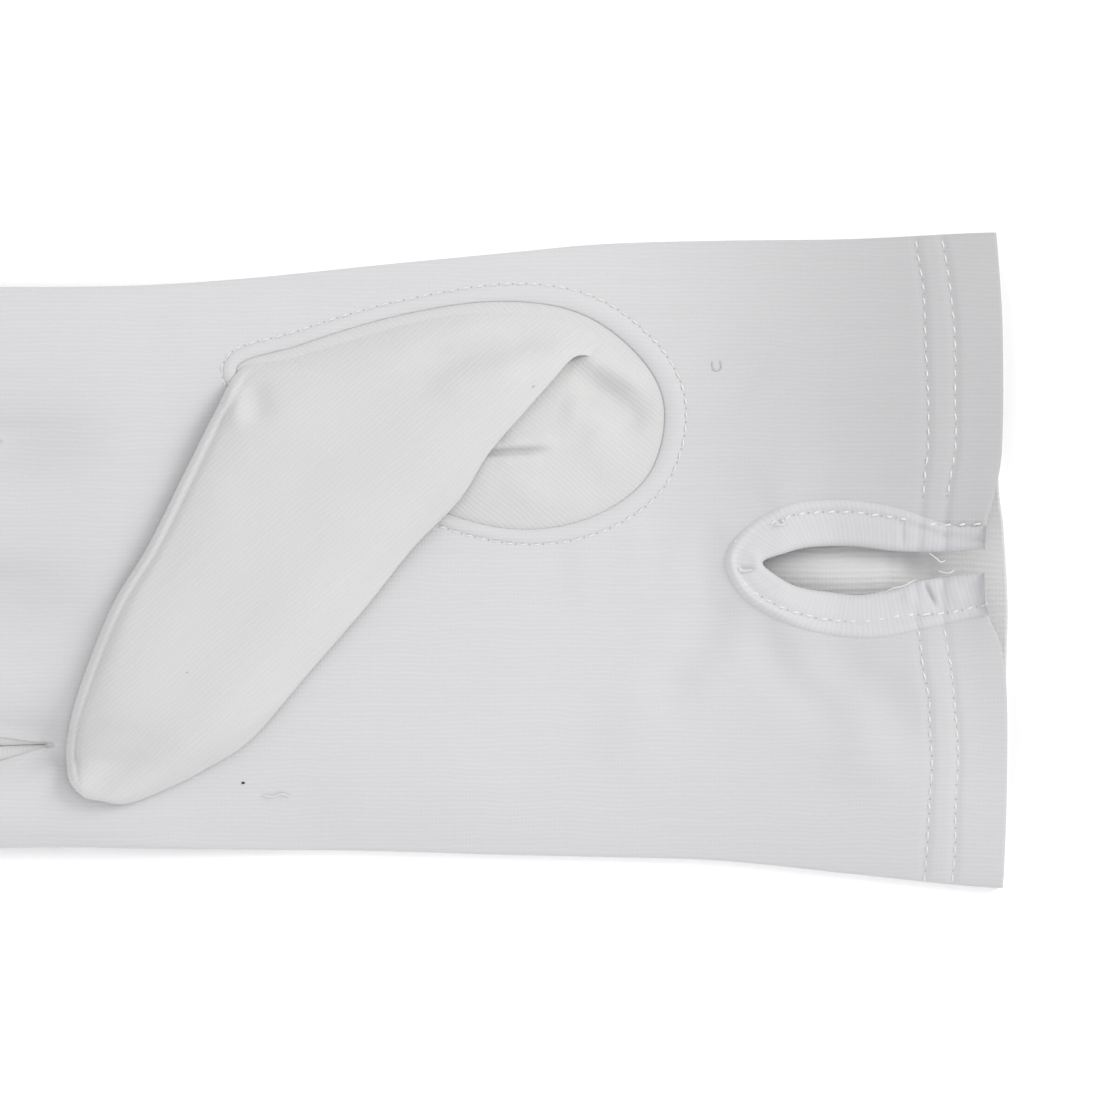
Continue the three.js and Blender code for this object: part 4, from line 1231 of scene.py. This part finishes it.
def stitched(name, paths, pitch, length, thick, base, lift, seed, slant):
    """A row of threads along each path, with a needle hole between two of them."""
    threads, pits = [], []
    for number, path in enumerate(paths):
        place, run = walk(path, pitch)
        threads.append(thread_mesh(name, place, run, length, thick, base, lift, seed + number, slant))
        between, _ = walk(path, pitch, 1.0)
        pits.append(hole_mesh(name + "_holes", between, 0.13, base, 0.05))
    piece(name, threads, THREAD)
    # Needle holes coloured with painted shade.
    piece(name + "_needle_hole_painted_shade", pits, PIT_PAINTED_SHADE)


def binding_top(x, y):
    """Height of the binding's upper side, under the threads that lie on it."""
    return front_height(x, y) + 0.42


seam_path = np.vstack([welt_path, welt_path[:1]])
stitched("hem_stitches", hem_paths, 2.42, 1.3, 0.15, front_height, 0.04, 31, 0.1)
stitched("thumb_seam_stitches", [seam_path], 2.3, 1.25, 0.15, front_height, 0.05, 41, 0.15)
stitched("binding_stitches", [binding_path], 2.45, 1.3, 0.2, binding_top, -0.02, 51, 0.2)

# %% [markdown]
# Small real marks: loose thread ends at the vent, a dark speck on the palm, and a little lint.

# %% Threads and specks


def strand(name, places, thick, base, lift):
    """Thin tube through places in the frame, with heights above the cloth."""
    table = np.array([(*spot(px, py), up) for px, py, up in places])
    fine = refined(table, 40)
    run = np.gradient(fine[:, :2], axis=0)
    run = run / np.linalg.norm(run, axis=1, keepdims=True)
    around = circle(6)
    size = thick * np.sqrt(np.clip(1 - np.linspace(-1, 1, 40) ** 8, 0.0, 1))[:, None]
    x = fine[:, [0]] - run[:, [1]] * size * np.cos(around)
    y = fine[:, [1]] + run[:, [0]] * size * np.cos(around)
    z = base(fine[:, [0]], fine[:, [1]]) + lift + fine[:, [2]] + size * np.sin(around)
    return welded(sheet(name, np.stack([x, y, z], axis=-1), closed_columns=True), 0.0005)


STRANDS = [
    [(886, 592, 0.1), (893, 588, 0.5), (903, 586, 0.6), (917, 579, 0.2)],
    [(929, 553, 0.1), (936, 558, 0.7), (941, 562, 0.4), (946, 560, 0.1)],
    [(938, 571, 0.0), (948, 573, 0.5), (955, 570, 0.1)],
    [(776, 521, 0.2), (779, 525, 0.6), (784, 523, 0.3), (781, 519, 0.2)],
    [(738, 567, 0.1), (744, 571, 0.4), (752, 569, 0.2)],
]
PALM_STRAND = [(262, 795, 0.15), (272, 797, 0.25), (281, 794, 0.2), (290, 797, 0.15)]
LINT = [(712, 361, 0.1), (713, 369, 0.1), (717, 371, 0.1), (721, 368, 0.1), (720, 360, 0.1)]
loose = [strand("strand", places, 0.1, binding_top, 0.05) for places in STRANDS]
loose.append(strand("strand", PALM_STRAND, 0.1, front_height, 0.05))
piece("loose_threads", loose, THREAD)


def specks(name, places, material):
    """Small flattened grains, each given by its place in the frame and its length in millimetres."""
    meshes = []
    for px, py, size, base, lift in places:
        x, y = spot(px, py)
        turn = circle(10)
        tilt = np.linspace(-math.pi / 2, math.pi / 2, 7)[:, None]
        grain = np.stack([x + size / 2 * np.cos(tilt) * np.cos(turn),
                          y + size / 3 * np.cos(tilt) * np.sin(turn),
                          base(x, y) + lift + size / 5 * np.sin(tilt) + 0 * turn], axis=-1)
        meshes.append(welded(sheet(name, grain, closed_columns=True), 0.0005))
    piece(name, meshes, material)


def thumb_top(x, y):
    """Height of the thumb's upper side at a place in plan."""
    away = np.hypot(tube[..., 0] - x, tube[..., 1] - y)
    return tube[..., 2][away < away.min() + 0.5].max()


specks("dark_speck", [(243, 783, 0.62, front_height, 0.08)], SPECK)
specks("grey_specks", [(189, 672, 0.3, thumb_top, 0.0), (534, 387, 0.35, thumb_top, 0.0)], GREY)
piece("grey_lint", [strand("strand", LINT, 0.05, front_height, 0.0)], GREY)

# %% [markdown]
# The glove lies on a plain white floor in soft daylight: a large soft light beyond the cuff, on
# the index side, and a white surround. The camera looks straight down from 1.6 metres with a
# long lens.

# %% Floor, light and camera
FLOOR_HALF = 1.6


def plain_floor():
    """Large flat sheet on which the glove lies."""
    material, tree, shader = new_material("floor_white")
    place = tree.nodes.new("ShaderNodeTexCoord")
    mottle = noise(tree, place.outputs["Object"], 60.0, 3.0)
    tone = mixed(tree, mottle, (0.93, 0.93, 0.93), (0.95, 0.95, 0.95))
    link(tree, tone, shader.inputs["Base Color"])
    shader.inputs["Roughness"].default_value = 0.95
    mesh = bpy.data.meshes.new("floor")
    corners = [(a * FLOOR_HALF, b * FLOOR_HALF, 0) for a, b in ((-1, -1), (1, -1), (1, 1), (-1, 1))]
    mesh.from_pydata(corners, [], [(0, 1, 2, 3)])
    mesh.materials.append(material)
    return in_scene("floor", mesh)


floor = plain_floor()


def soft_light(name, place, size, power, colour, target):
    """Square soft light that looks at a target."""
    data = bpy.data.lights.new(name, "AREA")
    data.size = size
    data.energy = power
    data.color = colour
    thing = in_scene(name, data)
    thing.location = place
    x, y, z = (b - a for a, b in zip(place, target))
    thing.rotation_euler = (math.atan2(math.hypot(x, y), -z), 0, math.atan2(x, -y) + math.pi)


soft_light("key_light", (0.95, 0.45, 0.65), 0.5, 7.5, (1.0, 0.995, 0.985), (0.03, 0.0, 0.0))
world = bpy.data.worlds.new("studio")
world.use_nodes = True
sky = world.node_tree
direction = sky.nodes.new("ShaderNodeTexCoord")
sides = sky.nodes.new("ShaderNodeSeparateXYZ")
link(sky, direction.outputs["Generated"], sides.inputs[0])
brightness = calc(sky, "MULTIPLY_ADD", sides.outputs[0], -0.2, 1.07)
brightness = calc(sky, "MULTIPLY_ADD", sides.outputs[1], -0.2, brightness)
background = sky.nodes["Background"]
background.inputs["Color"].default_value = (0.985, 0.985, 1.0, 1)
link(sky, brightness, background.inputs["Strength"])
bpy.context.scene.world = world
bpy.context.scene.view_settings.view_transform = "Standard"

FRAME_WIDTH = 0.18333
CAMERA_HEIGHT = 1.6
SENSOR = 36.0
FOCUS_HEIGHT = 0.008
lens = bpy.data.cameras.new("camera")
lens.sensor_width = SENSOR
lens.lens = SENSOR * (CAMERA_HEIGHT - FOCUS_HEIGHT) / FRAME_WIDTH
camera = in_scene("camera", lens)
camera.location = (0.04917, 0.00167, CAMERA_HEIGHT)
bpy.context.scene.camera = camera
print("Camera over", [round(v, 4) for v in camera.location], "lens", round(lens.lens, 1), "mm")
